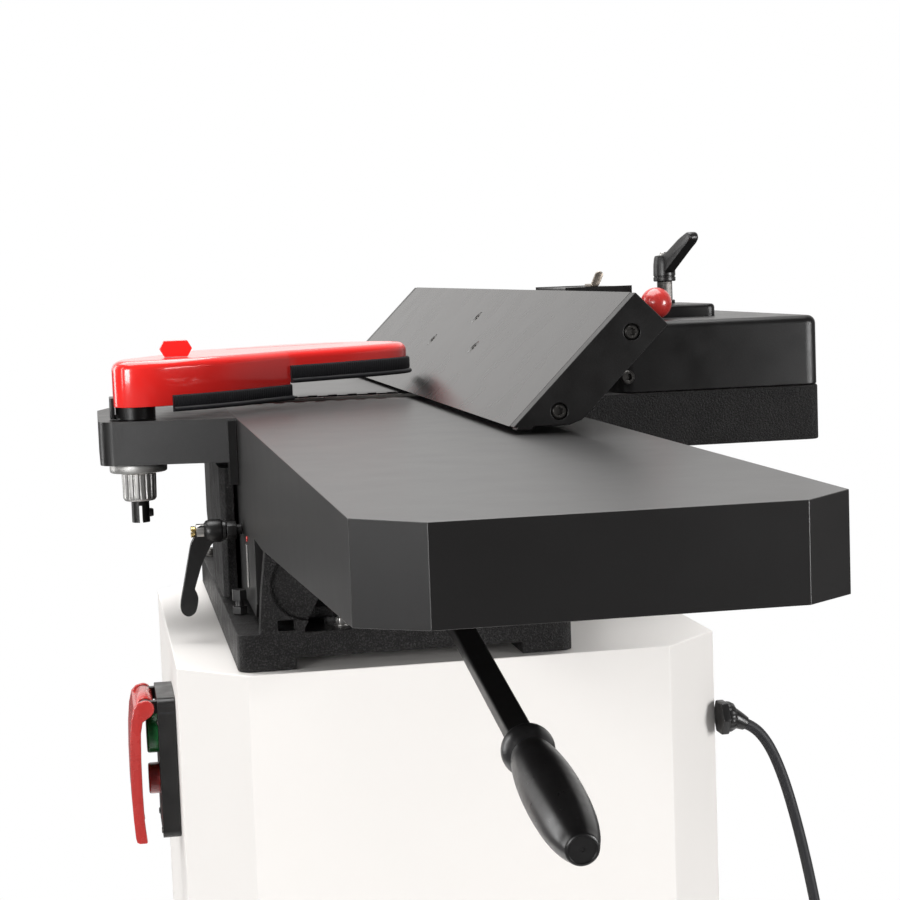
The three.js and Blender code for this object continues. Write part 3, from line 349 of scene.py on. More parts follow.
def make_materials():
    return {
        "cabinet_white": surface("powder_coat_white", (0.74, 0.715, 0.690), 0.42, spread=0.015, patch=3,
                                 bump=0.08,
                                 bump_scale=900, specular=0.4, rough_spread=0.04),
        "casting_black": surface("sand_cast_black", (0.0042, 0.0038, 0.0038), 0.42, spread=0.3, patch=22,
                                 speckle=1.0,
                                 speckle_scale=900, bump=1.0, bump_scale=800, bump_detail=3, bump_depth=0.9,
                                 specular=0.15, rough_spread=0.10),
        "table_grey": surface("table_coating", (0.0060, 0.0054, 0.0054), 0.35, spread=0.06, patch=9,
                              speckle=0.25,
                              speckle_scale=1500, bump=0.25, bump_scale=1500, bump_depth=0.08,
                              rough_spread=0.012),
        "fence_coating": surface("fence_coating", (0.0070, 0.0062, 0.0060), 0.27, spread=0.06, patch=9,
                                 speckle=0.25,
                                 speckle_scale=1500, bump=0.05, bump_scale=900, bump_detail=1,
                                 bump_depth=0.004,
                                 rough_spread=0.01),
        "painted_black": surface("satin_black_paint", (0.0050, 0.0046, 0.0046), 0.36, spread=0.18, patch=16,
                                 speckle=0.35,
                                 speckle_scale=1200, bump=0.5, bump_scale=900, bump_detail=3,
                                 bump_depth=0.12,
                                 specular=0.3, rough_spread=0.05),
        "guard_red": surface("red_enamel", (0.92, 0.022, 0.018), 0.22, spread=0.04, patch=12, bump=0.2,
                             bump_scale=160,
                             bump_detail=2, bump_depth=0.05, coat=0.6, rough_spread=0.03),
        "plastic_black": surface("moulded_black", (0.0060, 0.0056, 0.0056), 0.36, spread=0.15, patch=30,
                                 speckle=0.2,
                                 bump=0.4, bump_scale=1500, bump_depth=0.06),
        "plastic_red": surface("moulded_red", (0.44, 0.030, 0.026), 0.26, spread=0.05, patch=25, bump=0.2,
                               bump_scale=300,
                               bump_depth=0.04, coat=0.3),
        "plastic_green": surface("moulded_green", (0.006, 0.22, 0.045), 0.32, spread=0.08, patch=25,
                                 bump=0.2,
                                 bump_scale=600, bump_depth=0.04),
        "rubber": surface("black_rubber", (0.0095, 0.0095, 0.0115), 0.55, spread=0.2, patch=40, speckle=0.4,
                          speckle_scale=1400, bump=0.5, bump_scale=1800, bump_depth=0.1, specular=0.4,
                          dust=0.1),
        "steel": surface("ground_steel", (0.42, 0.41, 0.395), 0.34, 1.0, spread=0.10, patch=25, bump=0.3,
                         bump_scale=600,
                         bump_depth=0.03, stretch=(1, 0.06, 1), rough_spread=0.08),
        "aluminium": surface("cast_aluminium", (0.38, 0.375, 0.365), 0.46, 0.95, spread=0.14, patch=90,
                             bump=0.6,
                             bump_scale=1100, bump_depth=0.08, rough_spread=0.08),
        "burnished": surface("burnished_steel", (0.060, 0.057, 0.054), 0.34, 0.85, spread=0.2, patch=80,
                             bump=0.3,
                             bump_scale=1200, bump_depth=0.05),
        "bright_lever": surface("plated_lever", (0.30, 0.26, 0.22), 0.32, 0.9, spread=0.2, patch=120,
                                bump=0.3,
                                bump_scale=900, bump_depth=0.05),
        "grip": surface("turned_grip", (0.0080, 0.0075, 0.0078), 0.32, spread=0.25, patch=60, bump=0.3,
                        bump_scale=400,
                        bump_depth=0.05, rough_spread=0.05),
        "brass": surface("yellow_passivated", (0.62, 0.47, 0.20), 0.28, 1.0, spread=0.15, patch=200,
                         bump=0.3,
                         bump_scale=1500, bump_depth=0.05),
    }


SOFT_EDGES = {
    "infeed_table": 1.3, "outfeed_table": 1.3, "fence_plate": 0.8, "fence_end_near": 0.8,
              "fence_end_far": 0.8,
    "fence_carriage": 5.5, "fence_support": 3.0, "base_casting": 2.2, "rabbet_ledge": 1.6,
              "cabinet_shell": 1.6,
    "cabinet_door": 0.8, "fence_tilt_shoe": 1.0, "switch_housing": 1.2, "belt_guard": 1.0,
              "motor_body": 2.0,
    "dust_port": 0.6, "door_latch": 0.8, "index_stop_lever": 0.6, "infeed_lip": 0.3, "outfeed_lip": 0.3,
    "depth_stop_bolt": 0.4, "lift_lever": 0.8, "motor_shelf": 0.5, "chip_chute": 0.4,
              "bearing_block_left": 1.0,
    "bearing_block_right": 1.0, "cutterhead_drum": 0.3, "guard_shaft": 0.4, "plug": 1.6, "depth_scale": 0.2,
    "tilt_lock_lever": 0.3, "start_button": 1.4, "stop_button": 1.4, "stop_paddle": 0.9, "guard_boss": 0.6,
    "levelling_foot_1": 1.2, "levelling_foot_2": 1.2, "levelling_foot_3": 1.2, "levelling_foot_4": 1.2,
    "cutterhead_pulley": 0.5, "motor_pulley": 0.5, "motor_shaft": 0.4, "lift_pivot_pin": 0.5,
              "cable_gland": 0.5,
}


# Nodes whose finish differs from the rest of their slot.
FINISHES = {
    "rabbet_ledge": "painted_black",
    "fence_plate": "fence_coating",
    "fence_end_near": "painted_black",
    "fence_end_far": "painted_black",
}


def dress_cad_nodes(materials):
    """The record's slot gives each CAD node its finish; modifiers round its edges."""
    for row in frame["record"]["subparts"]:
        thing = NODES[row["node"]]
        thing.data.materials.clear()
        thing.data.materials.append(materials[FINISHES.get(row["node"], row["material_slot"])])
        width = SOFT_EDGES.get(row["node"], 0.4)
        weld = thing.modifiers.new("weld", "WELD")
        weld.merge_threshold = 2e-5
        flat = thing.modifiers.new("flat_faces", "DECIMATE")
        flat.decimate_type = "DISSOLVE"
        flat.angle_limit = math.radians(1)
        bevel = thing.modifiers.new("edges", "BEVEL")
        bevel.width = width * MM
        bevel.segments = 4 if width > 2 else 2
        bevel.limit_method = "ANGLE"
        bevel.angle_limit = math.radians(32)
        thing.data.shade_smooth()
        normals = thing.modifiers.new("flat_shading", "WEIGHTED_NORMAL")
        normals.weight = 100


# ---------------------------------------------------------------- shape helpers for the pieces
def merged(*shells):
    """Several (points, faces) shells as one."""
    points, faces = [], []
    for shell_points, shell_faces in shells:
        start = len(points)
        points += list(shell_points)
        faces += [[start + i for i in face] for face in shell_faces]
    return points, faces


def offset_loop(loop, distance):
    """Closed 2-D outline moved outwards by a distance; the outline runs anticlockwise."""
    out = []
    for i, corner in enumerate(loop):
        c = Vector(corner)
        a = c - Vector(loop[i - 1])
        b = Vector(loop[(i + 1) % len(loop)]) - c
        a = Vector((a.y, -a.x)).normalized()
        b = Vector((b.y, -b.x)).normalized()
        out.append(tuple(c + (a + b) * (distance / max(1 + a.dot(b), 0.35))))
    return out


def round_loop(loop, radius, steps=4):
    """Closed 2-D outline with its corners rounded."""
    out = []
    for i, corner in enumerate(loop):
        c = Vector(corner)
        a, b = Vector(loop[i - 1]) - c, Vector(loop[(i + 1) % len(loop)]) - c
        cut = min(radius, a.length * 0.45, b.length * 0.45)
        start, end = c + a.normalized() * cut, c + b.normalized() * cut
        for k in range(steps + 1):
            t = k / steps
            out.append(tuple(start * (1 - t) ** 2 + c * 2 * t * (1 - t) + end * t * t))
    return out


def slab(loop, low, high, place, edge=0.6, steps=3):
    """Outline in place's XY thickened from low to high along its Z, with rounded edges."""
    levels = []
    for k in range(steps + 1):
        a = math.pi / 2 * k / steps
        levels.append((edge * (1 - math.sin(a)), low + edge * (1 - math.cos(a))))
    levels += [(inset, low + high - height) for inset, height in reversed(levels)]
    rings = []
    for inset, height in levels:
        rings.append([place @ (Vector((x, y, height)) * MM) for x, y in offset_loop(loop, -inset)])
    return skin(rings)


def polygon_radius(angle, sides):
    """Distance to the edge of a regular polygon whose corners lie at distance 1."""
    step = 2 * math.pi / sides
    return math.cos(step / 2) / math.cos((angle + step / 2) % step - step / 2)


def socket_head(place, radius, height, key, lobes=0):
    """Domed screw head standing on place's origin, with a hexagonal or six-lobed recess."""
    profile = [(radius, -0.4), (radius, height * 0.45), (radius * 0.93, height * 0.75),
               (radius * 0.78, height)]
    rings = []
    for r, z in profile:
        rings.append([(r, z, 1)] * 48)
    rings += [[(key * 1.12, height, 0)] * 48, [(key, height - 0.3, 0)] * 48,
              [(key * 0.96, height - 2, 0)] * 48]
    placed = []
    for ring in rings:
        points = []
        for j, (r, z, plain) in enumerate(ring):
            angle = 2 * math.pi * j / 48
            if not plain:
                r *= 1 + 0.13 * math.cos(6 * angle) if lobes else polygon_radius(angle, 6)
            points.append(place @ (Vector((r * math.cos(angle), r * math.sin(angle), z)) * MM))
        placed.append(points)
    return skin(placed)


def planar(points):
    return [Vector((x, y, 0)) for x, y in points]


def resampled(line, spacing):
    """Points at even distances along a line."""
    out = [line[0]]
    left = spacing
    for a, b in zip(line, line[1:]):
        length = (b - a).length
        while length > left:
            out.append(a.lerp(b, left / length))
            a = out[-1]
            length = (b - a).length
            left = spacing
        left -= length
    return out


# ---------------------------------------------------------------- cutter guard
GUARD_NEAR = planar([(-204, 722), (-203, 708), (-196, 700), (-182, 697.5), (-160, 703), (-115, 728),
                     (-63, 776)])
GUARD_TIP = planar([(-63, 776), (0, 813), (34, 840), (42, 852), (45, 866), (42, 885)])
GUARD_FAR = planar([(42, 885), (30, 905), (-5, 925), (-60, 920), (-105, 890), (-150, 862), (-172, 800),
                    (-200, 745),
                    (-204, 722)])
GUARD_TOP = 45
GUARD_WALL = 6


def guard_shell(material):
    near = curve_through(GUARD_NEAR, 8)
    tip = curve_through(GUARD_TIP, 8)
    far = curve_through(GUARD_FAR, 6)
    step = (near[-1] - near[-2]).normalized() * 0.3
    loop = [tuple(p.xy) for p in near[:-1] + [near[-1] - step] + tip + far[1:-1]]
    floor = [10] * len(near) + [20] * (len(loop) - len(near))
    loop.append((near[0].x - 0.1, near[0].y + 0.4))
    floor.append(20)

    def ring(inset, level):
        """Ring at a height, or at a distance above the lower edge when level is a one-item tuple."""
        moved = offset_loop(loop, -inset)
        heights = [f + level[0] for f in floor] if isinstance(level, tuple) else [level] * len(loop)
        return [bed(x, y, z) for (x, y), z in zip(moved, heights)]

    fillet = 7
    rings = [ring(GUARD_WALL, 38), ring(GUARD_WALL, (0,)), ring(1.2, (0,)), ring(0.35, (0.35,)),
             ring(0, (1.2,))]
    for k in range(9):
        a = math.pi / 2 * k / 8
        rings.append(ring(fillet * (1 - math.cos(a)), GUARD_TOP - fillet + fillet * math.sin(a)))
    rings.append(ring(fillet + 1.5, GUARD_TOP))
    hub = lathe([(15, 10), (15, 40)], Matrix.Translation(bed(-187.5, 722, 0)), 40)
    shell = mesh_object("guard_shell", *merged(skin(rings), hub), smooth=38)
    finish_piece(shell, "guard", material, "guard_casting", slot="guard_red")


def guard_strip(name, line, low, high, node, material):
    """Ribbed rubber strip with a rounded bead along its lower edge."""
    path = resampled(line, 0.55)
    rings = []
    for i, point in enumerate(path):
        along = path[min(i + 1, len(path) - 1)] - path[max(i - 1, 0)]
        out = Vector((along.y, -along.x, 0)).normalized()
        rib = 0.28 * (1 + math.cos(2 * math.pi * i * 0.55 / 2.2))
        section = [(0.2, low), (1.8, low)]
        for k in range(9):
            a = -math.pi / 2 + math.pi * k / 8
            section.append((2.6 + 1.7 * math.cos(a), low + 1.8 + 1.8 * math.sin(a)))
        section += [(2.0, low + 3.9), (2.1 + rib, low + 4.6), (2.1 + rib, high - 1.4), (1.9, high - 0.6),
                    (1.5, high), (0.2, high)]
        rings.append([bed(point.x + out.x * d, point.y + out.y * d, z) for d, z in section])
    strip = mesh_object(name, *skin(rings), smooth=40)
    finish_piece(strip, "guard", material, node, slot="rubber")


def guard_details(materials):
    # Painted shade: a thin black sheet laid on the guard's top stands in for the shade inside its groove.
    groove = slab(round_loop([(-1, -54), (1, -54), (1, 54), (-1, 54)], 0.9), 44.6, 45.06,
                  Matrix.Translation(bed(-56, 877, 0)) @ Matrix.Rotation(math.radians(-71.6), 4, "Z"),
                  edge=0.05, steps=1)
    finish_piece(mesh_object("guard_slot_painted_shade", *groove, smooth=30), "guard", materials["rubber"])
    tab = slab(round_loop([(-207, 714), (-203.4, 714), (-203.4, 742), (-207, 742)], 1.2), 1.5, 17,
               Matrix.Translation(bed(0, 0, 0)), edge=0.6)
    foot = slab(round_loop([(-207, 716), (-199, 716), (-199, 740), (-207, 740)], 2), 1.2, 4.2,
                Matrix.Translation(bed(0, 0, 0)), edge=0.5)
    finish_piece(mesh_object("guard_catch", *merged(tab, foot), smooth=35), "guard",
                 materials["plastic_black"])
    screw = socket_head(axis_frame(bed(-181.2, 722, -72), (1, 0, 0)), 3.3, 3.4, 1.7)
    finish_piece(mesh_object("guard_shaft_screw", *screw, smooth=35), "guard", materials["painted_black"])


def spring_knob(material):
    """Aluminium knob: flange under the ledge, fluted skirt, chamfered lower end."""
    fluted = {4, 5, 6, 7}

    def ripple(angle, i):
        if i not in fluted:
            return 1
        wave = math.cos(18 * angle)
        return 1 - 0.075 * max(0, -wave) ** 0.6

    profile = [(7, -62.3), (10.8, -62.3), (11.6, -61.9), (12.6, -60.4), (12.75, -59), (12.9, -52),
               (13.05, -46),
               (13.1, -41.6), (13.6, -40.9), (14.6, -40.5), (20.6, -40.2), (21.4, -39.7), (21.8, -38.8),
               (21.8, -34.6), (21.4, -33.7), (20.8, -33.4), (7, -33.4)]
    knob = lathe(profile, Matrix.Translation(bed(-187.5, 722, 0)), 216, ripple)
    finish_piece(mesh_object("guard_knob", *knob, smooth=32), "guard_spring_knob", material,
                 "guard_spring_knob",
                 slot="aluminium")


# ---------------------------------------------------------------- handles
def infeed_lock(materials):
    """Clamping lever: yellow slotted screw, bright collar, ringed hub, hexagon and hanging arm."""
    place = axis_frame(bed(0, 663, -81.7), (1, 0, 0), (0, 0, 1))
    arm_place = axis_frame(bed(0, 663, -81.7), (0, -1, 0), (1, 0, 0))
    hub = lathe([(4, -143.5), (5.6, -143.5), (7.6, -142), (8.4, -140), (8.6, -138.2), (8.6, -131.4),
                 (7.9, -130.2),
                 (7.2, -129.7), (7.2, -127.6), (5, -127)], place, 48)
    arm = slab(round_loop([(-136.6, 3), (-136.6, -5), (-141, -9.5), (-148, -23), (-154.6, -43),
                           (-151.7, -48), (-152.6, -54),
                           (-154.2, -59), (-158, -60.8), (-161.2, -58), (-160.9, -52), (-151.6, -9),
                           (-148.2, -4),
                           (-147.4, 3)], 2.4, 3), -4.6, 4.6, arm_place, edge=2.0, steps=4)
    finish_piece(mesh_object("infeed_lock_arm", *merged(hub, arm), smooth=40), "infeed_lock",
                 materials["plastic_black"],
                 "infeed_lock_handle", slot="plastic_black")
    nut = slab(round_loop([(6.9 * math.cos(math.radians(60 * k)),
                            6.9 * math.sin(math.radians(60 * k))) for k in range(6)],
                          0.7, 2), -126.9, -119.2, place, edge=0.7)
    stem = lathe([(3.2, -120), (4, -119.5), (4, -115.6), (3.4, -115)], place, 32)
    finish_piece(mesh_object("infeed_lock_stem", *merged(nut, stem), smooth=35), "infeed_lock",
                 materials["painted_black"])
    collar = lathe([(3.2, -149.2), (5.2, -149.2), (5.7, -148.8), (5.7, -143.6), (5.2, -143.2)], place, 36)
    finish_piece(mesh_object("infeed_lock_collar", *collar, smooth=35), "infeed_lock", materials["steel"])
    halves = []
    for side in (1, -1):
        half = [(0.55 * side, -4.1 * side)]
        half += [(side * 4.2 * math.cos(a), side * 4.2 * math.sin(a)) for a in
                 [math.radians(-82 + 164 * k / 16) for k in range(17)]]
        half.append((0.55 * side, 4.1 * side))
        halves.append(slab(half, -153, -151.6, place, edge=0.35, steps=2))
    body = lathe([(4.2, -151.7), (4.2, -150.2), (3.6, -149.6), (2.8, -149.4), (2.8, -148.8)], place, 36)
    finish_piece(mesh_object("infeed_lock_yellow_screw", *merged(*halves, body), smooth=35), "infeed_lock",
                 materials["brass"], "infeed_lock_screw", slot="brass")


def slide_lock(materials):
    """Clamping lever standing on the fence carriage, its arm rising away from the operator."""
    place = Matrix.Translation(bed(270, 850, 0))
    base = 68.3
    hub = lathe([(5, base + 19.2), (8.9, base + 19.2), (9.5, base + 19.9), (9.5, base + 22.6),
                 (8.9, base + 23.1),
                 (8.9, base + 23.7), (9.5, base + 24.2), (9.3, base + 33), (8.6, base + 39),
                 (7.8, base + 41),
                 (4.6, base + 41.6), (4.4, base + 40.6)], place, 48)
    arm = round_loop([(-9, base + 26), (6, base + 24.2), (16, base + 31), (38, base + 46), (46, base + 51),
                      (49, base + 55), (47, base + 59.6), (42, base + 60.3), (30, base + 55.5),
                      (8, base + 43.5),
                      (-6.5, base + 40.5)], 3, 3)
    turned_place = place @ Matrix.Rotation(-math.pi * 0.91, 4, "Z") @ axis_frame(Vector((0, 0, 0)),
                                                                                 (1, 0, 0), (0, 1, 0))
    blade = slab(arm, -4.6, 4.6, turned_place, edge=2.2, steps=4)
    finish_piece(mesh_object("slide_lock_arm", *merged(hub, blade), smooth=40), "slide_lock",
                 materials["plastic_black"],
                 "slide_lock_handle", slot="plastic_black")
    hexagon = round_loop([(7.4 * math.cos(math.radians(60 * k + 12)),
                           7.4 * math.sin(math.radians(60 * k + 12)))
                          for k in range(6)], 0.7, 2)
    nut = slab(hexagon, base + 3.2, base + 19.4, place, edge=0.7)
    flange = lathe([(4, base), (8.3, base), (8.5, base + 0.4), (8.5, base + 2.7), (8, base + 3.3),
                    (5, base + 3.3)], place, 40)
    finish_piece(mesh_object("slide_lock_stem", *merged(nut, flange), smooth=35), "slide_lock",
                 materials["burnished"])
    screw = socket_head(Matrix.Translation(bed(270, 850, base + 41)), 3.6, 3.2, 1.9)
    finish_piece(mesh_object("slide_lock_screw", *screw, smooth=35), "slide_lock", materials["steel"])


def tilt_lock_ball(material):
    center = bed(236.6, 762, 71)
    place = axis_frame(center, (0.99, 0, 0.138), (0, 1, 0))
    profile = [(4.7, -12.1)]
    for k in range(25):
        a = math.radians(-68 + 158 * k / 24)
        profile.append((12.8 * math.cos(a), 12.8 * math.sin(a)))
    ball = lathe(profile, place, 56)
    finish_piece(mesh_object("tilt_ball", *ball, smooth=60), "tilt_lock", material, "tilt_lock_ball",
                 slot="plastic_red")


def fence_carriage(material):
    """Upper box with well-rounded upper edges, its raised pad, and the cradle for the tilting shoe."""
    upright = Matrix.Translation(bed(0, 0, 0))
    casing_loop = round_loop([(190, 709), (356, 709), (356, 1000), (190, 1000)], 12, 6)
    radius = 6.5
    rings = [[bed(x, y, 2.7) for x, y in offset_loop(casing_loop, -0.5)]]
    rings.append([bed(x, y, 3.2) for x, y in casing_loop])
    for k in range(9):
        a = math.pi / 2 * k / 8
        inset, z = radius * (1 - math.cos(a)), 57.7 - radius + radius * math.sin(a)
        rings.append([bed(x, y, z) for x, y in offset_loop(casing_loop, -inset)])
    rings.append([bed(x, y, 57.7) for x, y in offset_loop(casing_loop, -radius - 1.5)])
    pad = slab(round_loop([(240, 800), (300, 800), (300, 900), (240, 900)], 8, 5), 50, 68, upright, edge=3,
               steps=5)
    bore_radius, bore_x, bore_z = 112.3, 45.7, 18.9
    highest = math.asin((80 - bore_z) / bore_radius)
    lowest = math.asin(12.9 / bore_radius)
    bore = []
    for k in range(25):
        a = highest - k / 24 * (highest + lowest)
        bore.append((bore_x + bore_radius * math.cos(a), bore_z + bore_radius * math.sin(a)))
    cradle = bore + [(219.5, 6), (219.5, 85.5), (165, 85.5), (165, 80)]
    jaw = slab(cradle[::-1], -885, -775, axis_frame(bed(0, 0, 0), (0, -1, 0), (1, 0, 0)), edge=0.7, steps=2)
    shell = mesh_object("carriage_box", *merged(skin(rings), pad, jaw), smooth=35)
    finish_piece(shell, "fence_carriage", material, "fence_carriage", slot="painted_black")


def index_stop(material):
    """Pressed steel lever on the cradle, its finger tab bent up and leaning outwards."""
    z = 85.8
    strip = slab(round_loop([(-3.4, -14), (3.4, -14), (3.4, 10), (-3.4, 10)], 3), z, z + 2.6,
                 Matrix.Translation(bed(192, 800, 0)))
    tab_place = axis_frame(bed(192, 786.5, z), (0, -1, 0.0), (1, 0, 0))
    tab = slab(round_loop([(-4.2, 0.4), (3, 0.4), (7.4, 10.4), (5.4, 12.9), (1.2, 12.2)], 2.2, 3), -1.3,
               1.7, tab_place,
               edge=0.6)
    finish_piece(mesh_object("index_stop_tab", *merged(strip, tab), smooth=35), "index_stop", material,
                 "index_stop_lever",
                 slot="steel")


def lift_grip(materials):
    """Turned grip: round collar, groove, swelling body, and a flat end disc."""
    pivot, end = bed(10, 640, -95.8), bed(10, 132, -187.2)
    length = (end - pivot).length / MM
    place = axis_frame(pivot, end - pivot, (1, 0, 0))
    collar = [(8.2, 0.2), (10.6, 0.6), (13.2, 2.6), (14.9, 5.6), (15.5, 9), (15.2, 12.5), (14, 16),
              (12.4, 18.8)]
    body = [(12, 19.6), (12.3, 20.4), (13.4, 26), (14.4, 33), (15.4, 43), (16.2, 56), (16.5, 68),
            (16.4, 82), (15.9, 95),
            (14.9, 108), (13.3, 119), (11.4, 127.5), (9.8, 132.5)]
    disc_edge = [(9.35, 134.4), (9.1, 135.2), (8.5, 135.7), (7.7, 135.9), (7.5, 135.4), (7.2, 135.1),
                 (1.4, 135.1),
                 (1.2, 134.7)]
    start = length - 136
    profile = []
    for part in (collar, body, disc_edge):
        smooth = curve_through([Vector((r, h, 0)) for r, h in part],
                               3) if part is not disc_edge else planar(part)
        profile += [(p.x, start + p.y) for p in smooth]
    grip = lathe(profile, place, 64)
    finish_piece(mesh_object("lift_grip_turned", *grip, smooth=35), "lift_lever", materials["grip"],
                 "lift_grip",
                 slot="plastic_black")


# ---------------------------------------------------------------- screws and small fittings
def fence_place(y, along, depth):
    """Origin on the fence, along its face from the bottom edge, with its Z out of the working face."""
    lean = math.pi / 4
    x = 39.7 + (along + depth) * math.sin(lean)
    z = 4.4 + (along - depth) * math.cos(lean)
    return axis_frame(bed(x, y, z), (-1, 0, 1), (0, 1, 0))


def fence_screws(materials):
    for i, (y, along) in enumerate(((733, 54.5), (822.6, 84), (926.5, 55)), 1):
        head = lathe([(3, -4.5), (3.2, -3.6), (5.7, -0.75), (5.8, -0.5), (5.5, -0.35), (3.2, -0.35),
                      (3.0, -0.6), (2.9, -2.2)],
                     fence_place(y, along, 0), 36)
        finish_piece(mesh_object(f"fence_face_screw_{i}", *head, smooth=35), "fence",
                     materials["burnished"])
    for i, (x, z) in enumerate(((118.7, 61.4), (70, 13.2)), 1):
        head = socket_head(axis_frame(bed(x, 410.9, z), (0, -1, 0)), 4.9, 2.7, 2.3, lobes=6)
        finish_piece(mesh_object(f"fence_cap_screw_{i}", *head, smooth=35), "fence", materials["burnished"])


def hex_bolt(name, place, flats, height, body, material):
    corner = flats / 2 / math.cos(math.radians(30))
    hexagon = round_loop([(corner * math.cos(math.radians(60 * k)), corner * math.sin(math.radians(60 * k)))
                          for k in range(6)], 0.5, 2)
    head = slab(hexagon, 1.2, height, place, edge=0.5)
    washer = lathe([(flats * 0.4, 0), (flats * 0.72, 0), (flats * 0.74, 0.3), (flats * 0.74, 1.1),
                    (flats * 0.7, 1.3),
                    (flats * 0.3, 1.3)], place, 36)
    finish_piece(mesh_object(name, *merged(head, washer), smooth=32), body, material)


def small_fittings(materials):
    ring = socket_head(axis_frame(bed(196.5, 709.6, 15), (0, -1, 0)), 5.6, 2.6, 3.1)
    finish_piece(mesh_object("carriage_stop_screw", *ring, smooth=35), "fence_carriage",
                 materials["burnished"])
    hex_bolt("base_bolt_near", Matrix.Translation(bed(-57, 548, -138.6)), 8, 6, "base", materials["steel"])
    for i, (x, y) in enumerate(((-122, 940), (92, 548), (92, 950)), 1):
        hex_bolt(f"base_bolt_{i}", Matrix.Translation(bed(x, y, -138.6)), 10, 7, "base",
                 materials["burnished"])
    dot = lathe([(2, 0.1), (2.1, 0.4), (1.8, 0.9), (0.4, 1)],
                axis_frame(bed(-114.6, 621.4, -84), (-1, 0, 0)), 24)
    finish_piece(mesh_object("depth_pointer", *dot, smooth=40), "infeed", materials["plastic_red"])
    marks = []
    for k in range(11):
        low, end = 90.4 + 2.4 * k, 622.2 if k % 4 else 625
        line = [(618.3, low), (end, low), (end, low + 0.35), (618.3, low + 0.35)]
        marks.append(slab(line, 115.8, 115.86, axis_frame(bed(0, 0, 0), (-1, 0, 0), (0, 1, 0)), edge=0.01,
                          steps=1))
    finish_piece(mesh_object("depth_marks", *merged(*marks)), "infeed", materials["plastic_black"])


# ---------------------------------------------------------------- switch
def paddle(material):
    """Curved stop paddle: two side walls with round hinge ears, and the face sheet between them."""
    hinge_x, hinge_z = -193.5, -204.5
    ear = [(hinge_x + 6.3 * math.cos(a), hinge_z + 6.3 * math.sin(a)) for a in
           [math.radians(-50 + 150 * k / 14) for k in range(15)]]
    outer = [(-198.6, -199.4), (-202, -203), (-204.2, -212), (-205.6, -226), (-206.3, -245), (-206.4, -268),
             (-205.9, -285), (-205, -299), (-204.2, -302.4), (-202.4, -303.4)]
    inner = [(-197.2, -303.4), (-196.6, -302.4), (-198, -287), (-198.4, -266), (-198.3, -242),
             (-197.6, -222),
             (-196, -214), (-192.6, -211.6)]
    wall = ear + outer + inner
    face_inner = [(x + 3.1, z) for x, z in reversed(outer[1:-2])]
    sheet = outer[1:-2] + face_inner
    place = axis_frame(bed(0, 0, 0), (0, -1, 0), (1, 0, 0))
    walls = [slab(wall, -629.2, -625, place, edge=0.8), slab(wall, -695, -690.8, place, edge=0.8)]
    middle_sheet = slab(sheet, -693, -627, place, edge=0.3, steps=1)
    knuckle = lathe([(2, -682), (6.2, -682), (6.5, -681.5), (6.5, -638.5), (6.2, -638), (2, -638)],
                    place @ Matrix.Translation(Vector((hinge_x, hinge_z, 0)) * MM), 36)
    pin = lathe([(2, -694.6), (2, -625.4)], place @ Matrix.Translation(Vector((hinge_x, hinge_z, 0)) * MM),
                24)
    finish_piece(mesh_object("stop_paddle_curved", *merged(*walls, middle_sheet, knuckle), smooth=35),
                 "stop_paddle",
                 material["plastic_red"], "stop_paddle", slot="plastic_red")
    finish_piece(mesh_object("stop_paddle_pin", *pin, smooth=35), "stop_paddle", material["burnished"])


def switch_details(materials):
    """Screws in the face, and the dark joint between the housing's two mouldings."""
    seam_loop = [(-185.08, 624.92), (-172.2, 624.92), (-172.2, 695.08), (-185.08, 695.08)]
    seam = slab(seam_loop, -208.6, -207.4, Matrix.Translation(bed(0, 0, 0)), edge=0.05, steps=1)
    finish_piece(mesh_object("switch_seam", *seam), "base", materials["rubber"])
    for i, (y, z) in enumerate(((632, 296), (688, 296), (632, 216), (688, 216)), 1):
        screw = socket_head(axis_frame(bed(-185, y, -z), (-1, 0, 0)), 2.4, 0.9, 1.2)
        finish_piece(mesh_object(f"switch_screw_{i}", *screw, smooth=35), "base", materials["burnished"])


# ---------------------------------------------------------------- power cord
COIL_MIDDLE = (286, 640)
COIL_START = 32.0
COIL_PITCH = 8.2
CORD_DIAMETER = 0.008
FLOOR = -813


def cord_line():
    """Centre line: out of the gland, down in one plane, along the floor, three turns, then the plug."""
    falling = [(238, 560.5, -233.8), (241.5, 560.5, -235.7), (247, 560.5, -240.1), (252.5, 560.5, -247),
               (257.8, 560.5, -256.5), (262.8, 560.5, -268.5), (268, 560.5, -284), (274.5, 560.5, -308),
               (282, 560.5, -341), (289, 560.5, -378), (297, 560.5, -430), (305, 560.5, -500),
               (312, 560.5, -590),
               (317, 560.5, -680), (318, 561, -725), (318, 564.5, -758), (318, 574, -782),
               (318, 590, -796.2),
               (318, 605, -800), (318, 614, -800.4)]
    points = curve_through([Vector(p) for p in falling], 4)
    points.append(Vector((318, 622, -800.5)))
    start_low = len(points)
    turns = 3
    for y in (628, 634):
        points.append(Vector((318, y, 0)))
    steps = 72 * turns
    for k in range(steps + 1):
        t = k / 72
        r = COIL_START + COIL_PITCH * t
        a = 2 * math.pi * t
        points.append(Vector((COIL_MIDDLE[0] + r * math.cos(a), COIL_MIDDLE[1] + r * math.sin(a), 0)))
    travelled = 0.0
    for k in range(start_low, len(points)):
        travelled += (points[k].xy - points[k - 1].xy).length
        fall = min(travelled / 52, 1)
        fall = fall * fall * (3 - 2 * fall)
        points[k].z = -800.5 + (FLOOR + 4.15 + 800.5) * fall
    leave = points[-1].copy()
    for k in range(1, 9):
        t = k / 8
        rise = t * t * (3 - 2 * t)
        points.append(Vector((leave.x, leave.y + 34.5 * t, leave.z + 5.95 * rise)))
    return [bed(*p) for p in points]


